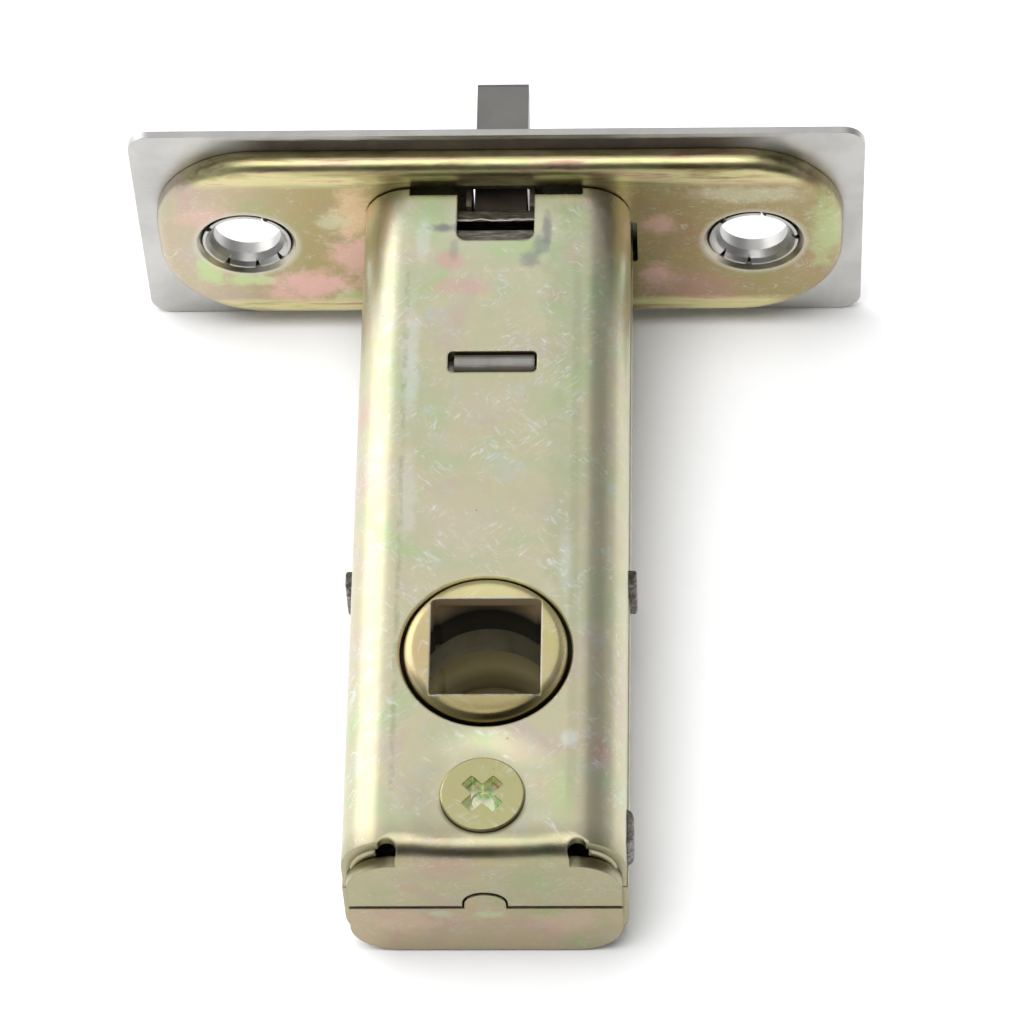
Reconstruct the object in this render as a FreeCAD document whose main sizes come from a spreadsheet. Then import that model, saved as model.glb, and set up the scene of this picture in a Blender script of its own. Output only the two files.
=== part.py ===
import FreeCAD, Part
import math
import os

import Sketcher

# Tubular door latch with a flat tongue, lying with its hub axis upright.
# X runs along the forend, Y is the way the tongue comes out, Z is the hub axis.
# The origin is the middle of the forend's outer face.

doc = FreeCAD.newDocument("tubular_latch")

# Driving sizes in millimetres, angles in degrees
DRIVING_SIZES = (
    ("backset", 45.0),
    ("face_long", 58.0),
    ("face_wide", 24.0),
    ("face_thick", 0.6),
    ("face_corner", 1.8),
    ("screw_pitch", 40.6),
    ("mouth_gap", 0.2),
    ("collar_bore", 5.4),
    ("collar_wall", 0.4),
    ("collar_lip_back", 0.15),
    ("collar_lip_tall", 0.85),
    ("collar_lip_turn", 0.3),
    ("split_deep", 0.55),
    ("split_wide", 0.84),
    ("dish_long", 54.8),
    ("dish_wide", 20.3),
    ("dish_corner", 8.5),
    ("dish_back", 2.4),
    ("dish_gap", 0.05),
    ("case_gap", 0.12),
    ("dish_sheet", 1.0),
    ("dish_roll", 1.1),
    ("dish_hole", 7.2),
    ("dish_hole_bevel", 0.4),
    ("sink_across", 6.4),
    ("sink_depth", 0.3),
    ("collar_flare", 7.1),
    ("throat_shoulder", 1.2),
    ("throat_tab_wide", 0.4),
    ("throat_wide", 13.64),
    ("throat_tall", 15.5),
    ("case_wide", 21.2),
    ("case_tall", 15.1),
    ("case_corner", 3.8),
    ("case_sheet", 0.9),
    ("case_end", 62.3),
    ("case_step", 0.1),
    ("seam_side", 0.7),
    ("seam_rear", 0.65),
    ("seam_gap", 0.1),
    ("seam_rear_gap", 0.4),
    ("tab_long", 1.2),
    ("tab_reach", 0.35),
    ("front_step", 0.6),
    ("notch_corner", 0.8),
    ("notch_wide", 6.1),
    ("notch_end", 7.5),
    ("slot_wide", 6.9),
    ("slot_start", 18.0),
    ("slot_end", 19.95),
    ("hub_hole", 12.9),
    ("hub_bevel", 0.15),
    ("bend_roll", 1.9),
    ("bend_wide", 12.8),
    ("flap_wide", 20.4),
    ("flap_top", 5.6),
    ("flap_low", 7.3),
    ("flap_corner", 3.6),
    ("flap_key_wide", 3.1),
    ("flap_key_tall", 2.1),
    ("flap_key_play", 0.15),
    ("relief_across", 1.5),
    ("wall_gap", 0.1),
    ("tongue_thick", 4.1),
    ("tongue_tall", 11.0),
    ("tongue_out", 9.5),
    ("tongue_offset", 0.27),
    ("tongue_nose", 1.7),
    ("tongue_root", 0.9),
    ("tongue_round", 0.5),
    ("carrier_start", 3.2),
    ("carrier_leg", 1.0),
    ("carrier_gap", 0.9),
    ("carrier_wide", 9.2),
    ("guide_sheet", 0.4),
    ("guide_end", 3.05),
    ("tail_rod", 2.8),
    ("guide_plate_thick", 1.65),
    ("guide_tab_wide", 6.2),
    ("guide_tab_shift", 0.15),
    ("stop_start", 34.65),
    ("stop_thick", 1.3),
    ("stop_tab_tall", 4.2),
    ("stop_proud", 0.55),
    ("stop_tab_round", 0.2),
    ("yoke_start", 20.1),
    ("yoke_sheet", 1.0),
    ("yoke_wide", 16.8),
    ("yoke_tall", 9.8),
    ("yoke_end", 44.5),
    ("yoke_fold", 1.1),
    ("lug_inner", 6.7),
    ("lug_front", 41.87),
    ("lug_thick", 1.2),
    ("boss_across", 12.4),
    ("boss_flat", 10.5),
    ("boss_top", 8.2),
    ("socket", 8.3),
    ("cam_thick", 3.2),
    ("cam_across", 12.9),
    ("hub_play", 0.15),
    ("hub_flange", 1.1),
    ("hub_flange_thick", 1.3),
    ("socket_corner", 0.3),
    ("hub_cavity", 11.0),
    ("hub_wall", 0.8),
    ("hub_end_wall", 1.0),
    ("arm_reach", 8.3),
    ("arm_wide", 2.2),
    ("arm_lead", 35.0),
    ("screw_inset", 4.9),
    ("screw_head", 6.2),
    ("screw_shank", 2.8),
    ("screw_cross", 3.3),
    ("screw_cross_wide", 1.08),
    ("screw_cross_deep", 1.2),
    ("screw_core", 1.7),
    ("screw_proud", 0.28),
    ("screw_foot", 2.0),
    ("sink_margin", 0.05),
    ("nut_wide", 4.8),
    ("nut_thick", 2.9),
    ("nut_tall", 5.0),
    ("nut_rise", 1.1),
    ("nut_corner", 0.6),
    ("nut_tab_tall", 3.4),
    ("nut_play", 0.4),
    ("nut_proud", 0.45),
    ("nut_sunk", 0.2),
    ("flange_wide", 16.0),
    ("flange_tall", 16.8),
    ("flange_corner", 1.5),
    ("flange_thick", 0.6),
    ("cheek_over", 0.4),
    ("washer_across", 7.4),
    ("washer_bore", 4.8),
    ("washer_thick", 0.5),
    ("head_across", 4.4),
    ("head_thick", 1.5),
    ("rivet_proud", 0.2),
    ("pin_across", 0.66),
    ("pin_long", 7.2),
    ("tenon_tall", 4.0),
    ("fork_start", 29.4),
    ("web_thick", 1.2),
    ("bolt_coil", 5.0),
    ("bolt_wire", 0.5),
    ("return_coil", 6.4),
    ("return_wire", 0.7),
    ("press_gap", 0.02),
    ("seat_gap", 0.05),
    ("hole_play", 0.1),
    ("plate_play", 0.4),
    ("guide_play", 0.25),
)

# Cuts start this far outside the metal, and this length passes any sheet here
OVER = 1.0
THROUGH = 6.0

# Turns of each coil spring
COIL_TURNS = 5

# Short cones that make up the hub's dome, few enough to stay light
DOME_STEPS = 6

# Rounding of small corners
SMALL_CORNER = 0.4
TAB_CORNER = 0.3

sheet = doc.addObject("Spreadsheet::Sheet", "Sizes")
for row, (alias, number) in enumerate(DRIVING_SIZES, start=1):
    sheet.set("A%d" % row, alias.replace("_", " "))
    sheet.set("B%d" % row, str(number))
    sheet.setAlias("B%d" % row, alias)
doc.recompute()


class Dim:
    """A size with its number and the expression that gives it from the sheet."""

    def __init__(self, number, text):
        self.number = number
        self.text = text

    def __add__(self, other):
        other = as_dim(other)
        return Dim(self.number + other.number, "(%s + %s)" % (self.text, other.text))

    def __sub__(self, other):
        other = as_dim(other)
        return Dim(self.number - other.number, "(%s - %s)" % (self.text, other.text))

    def __mul__(self, factor):
        return Dim(self.number * factor, "(%s * %s)" % (self.text, factor))

    def __truediv__(self, factor):
        return Dim(self.number / factor, "(%s / %s)" % (self.text, factor))

    def __neg__(self):
        return Dim(-self.number, "(0 - %s)" % self.text)

    def __rsub__(self, other):
        return as_dim(other) - self

    __radd__ = __add__
    __rmul__ = __mul__


def as_dim(value):
    if isinstance(value, Dim):
        return value
    return Dim(float(value), repr(float(value)))


def size(alias):
    return Dim(float(sheet.get(alias)), "Sizes.%s" % alias)


def bind(thing, prop, dim):
    thing.setExpression(prop, as_dim(dim).text)


# Bodies and their features


def new_body(name, place=None, turn=None):
    """A named sub-part, moved by its Placement where it has its own centre."""
    body = doc.addObject("PartDesign::Body", name)
    body.Label = name
    body.Placement = FreeCAD.Placement(FreeCAD.Vector(0, 0, 0), turn or FreeCAD.Rotation())
    if place is not None:
        for axis, value in zip("xyz", place):
            bind(body, "Placement.Base.%s" % axis, value)
    return body


def new_sketch(body, role, name, offset=0.0, turn=None):
    """A sketch on one of the body's origin planes, moved along its normal."""
    sketch = body.newObject("Sketcher::SketchObject", "%s_%s" % (body.Name, name))
    plane = [f for f in body.Origin.OriginFeatures if f.Role == role][0]
    sketch.AttachmentSupport = [(plane, "")]
    sketch.MapMode = "FlatFace"
    if turn is not None:
        axis = FreeCAD.Vector(0, 0, 1)
        sketch.AttachmentOffset = FreeCAD.Placement(
            FreeCAD.Vector(0, 0, 0), FreeCAD.Rotation(axis, turn.number)
        )
        bind(sketch, "AttachmentOffset.Rotation.Angle", turn)
    bind(sketch, "AttachmentOffset.Base.z", offset)
    return sketch


def hold_point(sketch, geometry, end, across, up):
    """Ties a point of the sketch to the origin by its two coordinates."""
    for kind, value, axis in (("DistanceX", across, -2), ("DistanceY", up, -1)):
        value = as_dim(value)
        if abs(value.number) < 1e-9:
            sketch.addConstraint(Sketcher.Constraint("PointOnObject", geometry, end, axis))
        elif value.number > 0:
            rule = Sketcher.Constraint(kind, -1, 1, geometry, end, value.number)
            bind(sketch, "Constraints[%d]" % sketch.addConstraint(rule), value)
        else:
            rule = Sketcher.Constraint(kind, geometry, end, -1, 1, -value.number)
            bind(sketch, "Constraints[%d]" % sketch.addConstraint(rule), -value)


def vector(across, up):
    return FreeCAD.Vector(as_dim(across).number, as_dim(up).number, 0)


def draw_outline(sketch, points):
    """A closed outline of straight lines through the points."""
    first = sketch.GeometryCount
    count = len(points)
    for i in range(count):
        start = vector(*points[i])
        end = vector(*points[(i + 1) % count])
        sketch.addGeometry(Part.LineSegment(start, end), False)
    for i in range(count):
        after = first + (i + 1) % count
        sketch.addConstraint(Sketcher.Constraint("Coincident", first + i, 2, after, 1))
    for i in range(count):
        hold_point(sketch, first + i, 1, points[i][0], points[i][1])


def draw_corner(sketch, across, up, radius, sign):
    """What a bend of this radius takes off the corner of a section, sign 1 for the upper."""
    rim = across + radius
    foot = up - radius * sign
    points = [(rim, up), (rim, up + OVER * sign), (across - OVER, up + OVER * sign)]
    points = points + [(across - OVER, foot), (across, foot)]
    for start, end in zip(points, points[1:]):
        sketch.addGeometry(Part.LineSegment(vector(*start), vector(*end)), False)
    ring = Part.Circle(vector(rim, foot), FreeCAD.Vector(0, 0, 1), as_dim(radius).number)
    turn = math.pi / 2 * sign
    if sign > 0:
        sketch.addGeometry(Part.ArcOfCircle(ring, turn, math.pi), False)
    else:
        sketch.addGeometry(Part.ArcOfCircle(ring, math.pi, math.pi - turn), False)
    for i in range(3):
        sketch.addConstraint(Sketcher.Constraint("Coincident", i, 2, i + 1, 1))
    arc_end = 2 if sign > 0 else 1
    sketch.addConstraint(Sketcher.Constraint("Coincident", 3, 2, 4, arc_end))
    sketch.addConstraint(Sketcher.Constraint("Coincident", 4, 3 - arc_end, 0, 1))
    for i in range(4):
        hold_point(sketch, i, 1, points[i][0], points[i][1])
    hold_point(sketch, 3, 2, points[4][0], points[4][1])
    rule = Sketcher.Constraint("Radius", 4, as_dim(radius).number)
    bind(sketch, "Constraints[%d]" % sketch.addConstraint(rule), radius)


def draw_axis(sketch, across):
    """A construction line to turn a section round, beside the sketch's origin."""
    line = sketch.addGeometry(
        Part.LineSegment(vector(across, -THROUGH), vector(across, THROUGH)), True
    )
    hold_point(sketch, line, 1, across, -THROUGH)
    hold_point(sketch, line, 2, across, THROUGH)


def draw_rounded(sketch, left, right, low, high, radius):
    """A rectangle with round corners."""
    left, right, low, high, radius = [as_dim(v) for v in (left, right, low, high, radius)]
    first = sketch.GeometryCount
    x0, x1, y0, y1, r = left.number, right.number, low.number, high.number, radius.number
    sides = (
        (x0 + r, y0, x1 - r, y0),
        (x1, y0 + r, x1, y1 - r),
        (x1 - r, y1, x0 + r, y1),
        (x0, y1 - r, x0, y0 + r),
    )
    for ax, ay, bx, by in sides:
        sketch.addGeometry(
            Part.LineSegment(FreeCAD.Vector(ax, ay, 0), FreeCAD.Vector(bx, by, 0)), False
        )
    up = FreeCAD.Vector(0, 0, 1)
    corners = ((x1 - r, y0 + r, 270), (x1 - r, y1 - r, 0), (x0 + r, y1 - r, 90), (x0 + r, y0 + r, 180))
    for cx, cy, angle in corners:
        ring = Part.Circle(FreeCAD.Vector(cx, cy, 0), up, r)
        start = math.radians(angle)
        sketch.addGeometry(Part.ArcOfCircle(ring, start, start + math.pi / 2), False)
    for i in range(4):
        arc = first + 4 + i
        after = first + (i + 1) % 4
        sketch.addConstraint(Sketcher.Constraint("Tangent", first + i, 2, arc, 1))
        sketch.addConstraint(Sketcher.Constraint("Tangent", arc, 2, after, 1))
    for i, kind in enumerate(("Horizontal", "Vertical", "Horizontal", "Vertical")):
        sketch.addConstraint(Sketcher.Constraint(kind, first + i))
    rule = Sketcher.Constraint("Radius", first + 4, r)
    bind(sketch, "Constraints[%d]" % sketch.addConstraint(rule), radius)
    for i in range(1, 4):
        sketch.addConstraint(Sketcher.Constraint("Equal", first + 4, first + 4 + i))
    for side, kind, value in (
        (0, "DistanceY", low),
        (1, "DistanceX", right),
        (2, "DistanceY", high),
        (3, "DistanceX", left),
    ):
        if abs(value.number) < 1e-9:
            axis = -1 if kind == "DistanceY" else -2
            sketch.addConstraint(Sketcher.Constraint("PointOnObject", first + side, 1, axis))
        elif value.number > 0:
            rule = Sketcher.Constraint(kind, -1, 1, first + side, 1, value.number)
            bind(sketch, "Constraints[%d]" % sketch.addConstraint(rule), value)
        else:
            rule = Sketcher.Constraint(kind, first + side, 1, -1, 1, -value.number)
            bind(sketch, "Constraints[%d]" % sketch.addConstraint(rule), -value)


def draw_circle(sketch, across, up, radius):
    radius = as_dim(radius)
    ring = Part.Circle(vector(across, up), FreeCAD.Vector(0, 0, 1), radius.number)
    geometry = sketch.addGeometry(ring, False)
    hold_point(sketch, geometry, 3, across, up)
    rule = Sketcher.Constraint("Radius", geometry, radius.number)
    bind(sketch, "Constraints[%d]" % sketch.addConstraint(rule), radius)


def grow(body, kind, name, sketch, length, flip=False):
    """A pad or pocket from the sketch, checked for the volume that it changes."""
    before = body.Shape.Volume if body.Tip else 0.0
    feature = body.newObject("PartDesign::%s" % kind, "%s_%s" % (body.Name, name))
    feature.Profile = sketch
    feature.Reversed = flip
    bind(feature, "Length", length)
    doc.recompute()
    change = body.Shape.Volume - before
    if (kind == "Pad") != (change > 1e-6) or abs(change) < 1e-6:
        raise ValueError("%s of %s changes nothing" % (name, body.Name))
    return feature


def spin(body, kind, name, sketch, axis="V_Axis"):
    """A solid or a cut turned round an axis of its sketch."""
    before = body.Shape.Volume if body.Tip else 0.0
    feature = body.newObject("PartDesign::%s" % kind, "%s_%s" % (body.Name, name))
    feature.Profile = sketch
    feature.ReferenceAxis = (sketch, [axis])
    feature.Angle = 360
    doc.recompute()
    change = body.Shape.Volume - before
    if (kind == "Revolution") != (change > 1e-6) or abs(change) < 1e-6:
        raise ValueError("%s of %s changes nothing" % (name, body.Name))
    return feature


def round_edges(body, name, radius, picks):
    """Rounds the edges whose box fits what picks asks for."""
    names = []
    for i, edge in enumerate(body.Tip.Shape.Edges, start=1):
        if picks(edge.BoundBox):
            names.append("Edge%d" % i)
    if not names:
        raise ValueError("%s of %s finds no edge" % (name, body.Name))
    base = body.Tip
    feature = body.newObject("PartDesign::Fillet", "%s_%s" % (body.Name, name))
    feature.Base = (base, names)
    bind(feature, "Radius", radius)
    doc.recompute()
    return feature


def near(a, b, slack=0.02):
    return abs(a - as_dim(b).number) < slack


# Heights and depths that several pieces share

half_pitch = size("screw_pitch") / 2
case_top = size("case_tall") / 2
inner_top = case_top - size("case_sheet")
inner_end = size("case_end") - size("case_sheet")
wall_end = inner_end - size("wall_gap")
hub_depth = size("backset")
screw_depth = size("case_end") - size("screw_inset")
stop_end = size("stop_start") + size("stop_thick")
carrier_end = size("carrier_start") + 2 * size("carrier_leg") + size("carrier_gap")
pin_depth = size("carrier_start") + size("carrier_leg") + size("carrier_gap") / 2
yoke_top = size("yoke_tall") / 2
yoke_inner = yoke_top - size("yoke_sheet")
web_end = size("yoke_start") + size("web_thick")
rod_radius = size("tail_rod") / 2
tongue_left = size("tongue_offset") - size("tongue_thick") / 2
tongue_right = size("tongue_offset") + size("tongue_thick") / 2
tongue_half = size("tongue_tall") / 2
tab_top = size("stop_tab_tall") / 2 + size("tab_reach")
plate_half = size("case_wide") / 2 - size("case_sheet") - size("plate_play")


# Forend plates


def make_outer_faceplate():
    """Thin stainless plate with two collars drawn back through the inner plate."""
    body = new_body("outer_faceplate")
    long, wide = size("face_long") / 2, size("face_wide") / 2
    plate = new_sketch(body, "XZ_Plane", "outline")
    draw_rounded(plate, -long, long, -wide, wide, size("face_corner"))
    grow(body, "Pad", "plate", plate, size("face_thick"))

    gap = size("mouth_gap")
    mouth = new_sketch(body, "XZ_Plane", "mouth", -OVER)
    draw_rounded(
        mouth,
        tongue_left - gap,
        tongue_right + gap,
        -tongue_half - gap,
        tongue_half + gap,
        SMALL_CORNER,
    )
    grow(body, "Pocket", "mouth_cut", mouth, THROUGH, flip=True)

    bore = size("collar_bore") / 2
    wall = size("collar_wall")
    back = size("face_thick")
    sink = size("sink_across") / 2
    flare = size("collar_flare") / 2
    lip = size("dish_back") - size("collar_lip_back")
    lip_start = lip - size("collar_lip_tall")
    lip_middle = lip - size("collar_lip_turn")
    split_start = lip - size("split_deep")
    for side, sign in (("left", -1), ("right", 1)):
        centre = half_pitch * sign
        hole = new_sketch(body, "XZ_Plane", "hole_%s" % side, -OVER)
        draw_circle(hole, centre, 0, sink + wall / 2)
        grow(body, "Pocket", "hole_cut_%s" % side, hole, THROUGH, flip=True)

        # Section of the collar: sunk mouth, straight neck, then the lip crimped outward
        axis_line = new_sketch(body, "XY_Plane", "collar_%s" % side)
        section = [
            (centre + sink, 0),
            (centre + sink + wall, 0),
            (centre + sink + wall, -(back + size("seat_gap"))),
            (centre + bore + wall, -(back + wall + size("seat_gap"))),
            (centre + bore + wall, -lip_start),
            (centre + flare - wall * 0.3, -lip_middle),
            (centre + flare, -(lip - size("seat_gap"))),
            (centre + flare - wall * 0.6, -lip),
            (centre + bore + wall * 0.75, -lip_middle),
            (centre + bore, -(lip_start - size("seat_gap"))),
            (centre + bore, -size("sink_depth")),
        ]
        draw_outline(axis_line, section)
        draw_axis(axis_line, centre)
        spin(body, "Revolution", "collar_ring_%s" % side, axis_line, "Axis0")

        # Splits that open the lip where it was crimped
        for number, angle in enumerate(SPLIT_ANGLES[side]):
            cut = new_sketch(body, "XZ_Plane", "split_%s_%d" % (side, number), split_start)
            direction = math.radians(angle)
            across = (math.cos(direction), math.sin(direction))
            beside = (-across[1], across[0])
            tip = bore + size("seat_gap")
            rim = flare + size("split_wide") / 3
            spread = size("split_wide") / 2
            draw_outline(
                cut,
                [
                    (centre + tip * across[0], tip * across[1]),
                    (
                        centre + rim * across[0] + spread * beside[0],
                        rim * across[1] + spread * beside[1],
                    ),
                    (
                        centre + rim * across[0] - spread * beside[0],
                        rim * across[1] - spread * beside[1],
                    ),
                ],
            )
            grow(body, "Pocket", "split_cut_%s_%d" % (side, number), cut, OVER, flip=True)
    return body


# Directions of the splits in each collar's lip, in degrees
SPLIT_ANGLES = {
    "left": (-122.0, -78.0, -38.0, 148.0, 62.0),
    "right": (-140.0, -97.0, 5.0, 78.0, 135.0),
}


def make_inner_faceplate():
    """Plated dish with round ends, open for the collars and for the case."""
    body = new_body("inner_faceplate")
    long, wide = size("dish_long") / 2, size("dish_wide") / 2
    front = size("face_thick") + size("dish_gap")
    sheet_thick = size("dish_sheet")
    outline = new_sketch(body, "XZ_Plane", "outline", front)
    draw_rounded(outline, -long, long, -wide, wide, size("dish_corner"))
    grow(body, "Pad", "dish", outline, size("dish_back") - front)
    back = -size("dish_back")
    round_edges(
        body,
        "roll",
        size("dish_roll"),
        lambda box: near(box.YMin, back) and near(box.YMax, back),
    )
    hollow = new_sketch(body, "XZ_Plane", "hollow", front - OVER)
    draw_rounded(
        hollow,
        sheet_thick - long,
        long - sheet_thick,
        sheet_thick - wide,
        wide - sheet_thick,
        size("dish_corner") - sheet_thick,
    )
    depth = size("dish_back") - sheet_thick - front
    grow(body, "Pocket", "hollow_cut", hollow, depth + OVER, flip=True)

    edge = size("dish_hole") / 2
    bevel = size("dish_hole_bevel")
    for side, sign in (("left", -1), ("right", 1)):
        centre = half_pitch * sign
        hole = new_sketch(body, "XZ_Plane", "hole_%s" % side, -OVER)
        draw_circle(hole, centre, 0, edge)
        grow(body, "Pocket", "hole_cut_%s" % side, hole, THROUGH, flip=True)
        rim = new_sketch(body, "XY_Plane", "hole_bevel_%s" % side)
        draw_outline(
            rim,
            [
                (centre, back - OVER),
                (centre + edge + bevel + OVER, back - OVER),
                (centre + edge, back + bevel),
                (centre, back + bevel),
            ],
        )
        draw_axis(rim, centre)
        spin(body, "Groove", "hole_bevel_cut_%s" % side, rim, "Axis0")

    # Cross-shaped throat behind which the case butts, with notches for its side tabs
    case_half = size("case_wide") / 2
    throat, shoulder = size("throat_wide") / 2, case_half - size("throat_shoulder")
    tab_left = case_half + size("seat_gap")
    tab_right = case_half + size("throat_tab_wide")
    for part, left, right, up in (
        ("throat", throat, throat, size("throat_tall") / 2),
        ("throat_side", shoulder, shoulder, inner_top - size("seat_gap")),
        ("throat_tab", tab_left, tab_right, tab_top + size("guide_play")),
    ):
        opening = new_sketch(body, "XZ_Plane", part, -OVER)
        draw_rounded(opening, -left, right, -up, up, TAB_CORNER)
        grow(body, "Pocket", "%s_cut" % part, opening, THROUGH, flip=True)
    return body


# Case shells


def make_case_shell(name, sign):
    """One folded half of the case, the upper one with sign 1, the lower with -1."""
    upper = sign > 0
    body = new_body(name)
    half = size("case_wide") / 2
    if upper:
        half = half - size("case_step")
    sheet_thick = size("case_sheet")
    start = size("dish_back") + size("case_gap")
    tube = new_sketch(body, "XZ_Plane", "tube", start)
    draw_rounded(tube, -half, half, -case_top, case_top, size("case_corner"))
    draw_rounded(
        tube,
        sheet_thick - half,
        half - sheet_thick,
        -inner_top,
        inner_top,
        size("case_corner") - sheet_thick,
    )
    grow(body, "Pad", "walls", tube, wall_end - start)

    # Only this half stays, down to the seam along the sides
    seam = size("seam_side") + size("seam_gap") / 2 * sign
    low, high = (-size("case_tall"), seam) if upper else (seam, size("case_tall"))
    other_half = new_sketch(body, "XZ_Plane", "other_half", start - OVER)
    aside = size("case_wide")
    draw_outline(other_half, [(-aside, low), (aside, low), (aside, high), (-aside, high)])
    grow(body, "Pocket", "other_half_cut", other_half, size("case_end"), flip=True)

    # Cuts through the broad wall
    wall_plane = case_top + OVER if upper else OVER - inner_top
    wall_cut = sheet_thick + 2 * OVER
    throat = size("throat_wide") / 2
    step = new_sketch(body, "XY_Plane", "front_step", wall_plane)
    step_end = -start - size("front_step")
    step_start = OVER - start
    draw_outline(
        step,
        [(-throat, step_start), (-throat, step_end), (throat, step_end), (throat, step_start)],
    )
    grow(body, "Pocket", "front_step_cut", step, wall_cut)
    notch = size("notch_wide") / 2
    front_notch = new_sketch(body, "XY_Plane", "notch", wall_plane)
    draw_rounded(
        front_notch, -notch, notch, -size("notch_end"), 2 * OVER - start, size("notch_corner")
    )
    grow(body, "Pocket", "notch_cut", front_notch, wall_cut)
    slot = size("slot_wide") / 2
    tab_slot = new_sketch(body, "XY_Plane", "slot", wall_plane)
    draw_rounded(tab_slot, -slot, slot, -size("slot_end"), -size("slot_start"), SMALL_CORNER)
    grow(body, "Pocket", "slot_cut", tab_slot, wall_cut)
    hub_hole = new_sketch(body, "XY_Plane", "hub_hole", wall_plane)
    draw_circle(hub_hole, 0, -hub_depth, size("hub_hole") / 2)
    grow(body, "Pocket", "hub_hole_cut", hub_hole, wall_cut)
    hole_radius = size("hub_hole") / 2
    bevel = size("hub_bevel")
    rim = new_sketch(body, "XZ_Plane", "hub_hole_bevel", hub_depth)
    draw_outline(
        rim,
        [
            (0, (case_top + OVER) * sign),
            (hole_radius + bevel + OVER, (case_top + OVER) * sign),
            (hole_radius, (case_top - bevel) * sign),
            (0, (case_top - bevel) * sign),
        ],
    )
    spin(body, "Groove", "hub_hole_bevel_cut", rim)

    # Slots in the side walls for the staked plate, and tabs into the forend
    stake = new_sketch(body, "YZ_Plane", "stake_slot", -half - OVER)
    play = size("hole_play")
    stake_half = size("stop_tab_tall") / 2 + play
    draw_outline(
        stake,
        [
            (-stop_end - play, -stake_half),
            (play - size("stop_start"), -stake_half),
            (play - size("stop_start"), stake_half),
            (-stop_end - play, stake_half),
        ],
    )
    grow(body, "Pocket", "stake_slot_cut", stake, 2 * half + 2 * OVER, flip=True)
    window = new_sketch(body, "YZ_Plane", "nut_window", -half - OVER)
    window_half = size("nut_thick") / 2 + size("nut_play")
    window_low = size("nut_rise") - size("nut_tab_tall") / 2 - play
    window_high = size("nut_rise") + size("nut_tab_tall") / 2 + play
    draw_rounded(
        window,
        -screw_depth - window_half,
        window_half - screw_depth,
        window_low,
        window_high,
        SMALL_CORNER,
    )
    grow(body, "Pocket", "nut_window_cut", window, 2 * half + 2 * OVER, flip=True)
    tab_end = tab_top * sign
    tab_start = start - sheet_thick
    for side, edge in (("left", -1), ("right", 1)):
        tab = new_sketch(body, "XZ_Plane", "tab_%s" % side, tab_start)
        inner, outer = (half - sheet_thick) * edge, half * edge
        draw_outline(tab, [(inner, seam), (outer, seam), (outer, tab_end), (inner, tab_end)])
        grow(body, "Pad", "tab_%s_pad" % side, tab, size("tab_long"))
    make_rear_flap(body, sign)
    return body


def make_rear_flap(body, sign):
    """The end of the broad wall bent over the rear, with its corner reliefs."""
    upper = sign > 0
    bend = size("bend_wide") / 2
    roll = size("bend_roll")
    end = size("case_end")
    sheet_thick = size("case_sheet")
    strip_foot = size("flap_top") - OVER
    strip_start = end - roll - sheet_thick

    strip = new_sketch(body, "YZ_Plane", "bend", -bend)
    draw_outline(
        strip,
        [
            (-strip_start, case_top * sign),
            (-end, case_top * sign),
            (-end, strip_foot * sign),
            (-(end - sheet_thick), strip_foot * sign),
            (-(end - sheet_thick), inner_top * sign),
            (-strip_start, inner_top * sign),
        ],
    )
    grow(body, "Pad", "bend_pad", strip, 2 * bend)
    bend_roll = new_sketch(body, "YZ_Plane", "bend_roll", -size("case_wide"))
    draw_corner(bend_roll, -end, case_top * sign, roll, sign)
    grow(body, "Pocket", "bend_roll_cut", bend_roll, 2 * size("case_wide"), flip=True)

    # Reliefs at both ends of the bend
    relief_deep = roll + OVER + size("hole_play")
    relief_plane = case_top + OVER if upper else relief_deep - OVER - case_top
    relief = new_sketch(body, "XY_Plane", "relief", relief_plane)
    radius = size("relief_across") / 2
    for edge in (-1, 1):
        draw_circle(relief, (bend + radius * 0.8) * edge, -(wall_end + radius / 2), radius)
    grow(body, "Pocket", "relief_cut", relief, relief_deep)

    # Flap outside the wall ends, following the case's round corners
    flap = size("flap_wide") / 2
    rear_seam = -size("seam_rear") + size("seam_rear_gap") / 2 * sign
    panel = new_sketch(body, "XZ_Plane", "flap", end - sheet_thick)
    far = -size("flap_top") * sign
    low, high = (far, size("flap_top")) if upper else (-size("flap_low"), far)
    draw_rounded(panel, -flap, flap, low, high, size("flap_corner"))
    grow(body, "Pad", "flap_pad", panel, sheet_thick)
    cut = new_sketch(body, "XZ_Plane", "flap_trim", end - sheet_thick)
    tab = size("flap_key_wide") / 2
    play = size("flap_key_play")
    aside, beyond = size("flap_wide"), size("case_tall")
    key_low, key_top = rear_seam - size("flap_key_tall"), rear_seam + size("flap_key_tall")
    if upper:
        corners = [(-aside, -beyond), (aside, -beyond), (aside, rear_seam), (-aside, rear_seam)]
        draw_outline(cut, corners)
        grow(body, "Pocket", "flap_trim_cut", cut, sheet_thick, flip=True)
        notch = new_sketch(body, "XZ_Plane", "flap_notch", end - sheet_thick)
        corner = tab + play - size("seat_gap")
        draw_rounded(notch, -tab - play, tab + play, key_low, key_top, corner)
        grow(body, "Pocket", "flap_notch_cut", notch, sheet_thick, flip=True)
    else:
        corners = [(-aside, rear_seam), (aside, rear_seam), (aside, beyond), (-aside, beyond)]
        draw_outline(cut, corners)
        grow(body, "Pocket", "flap_trim_cut", cut, sheet_thick, flip=True)
        key = new_sketch(body, "XZ_Plane", "flap_key", end - sheet_thick)
        draw_rounded(key, -tab, tab, key_low, key_top, tab - size("seat_gap"))
        grow(body, "Pad", "flap_key_pad", key, sheet_thick)


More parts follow.
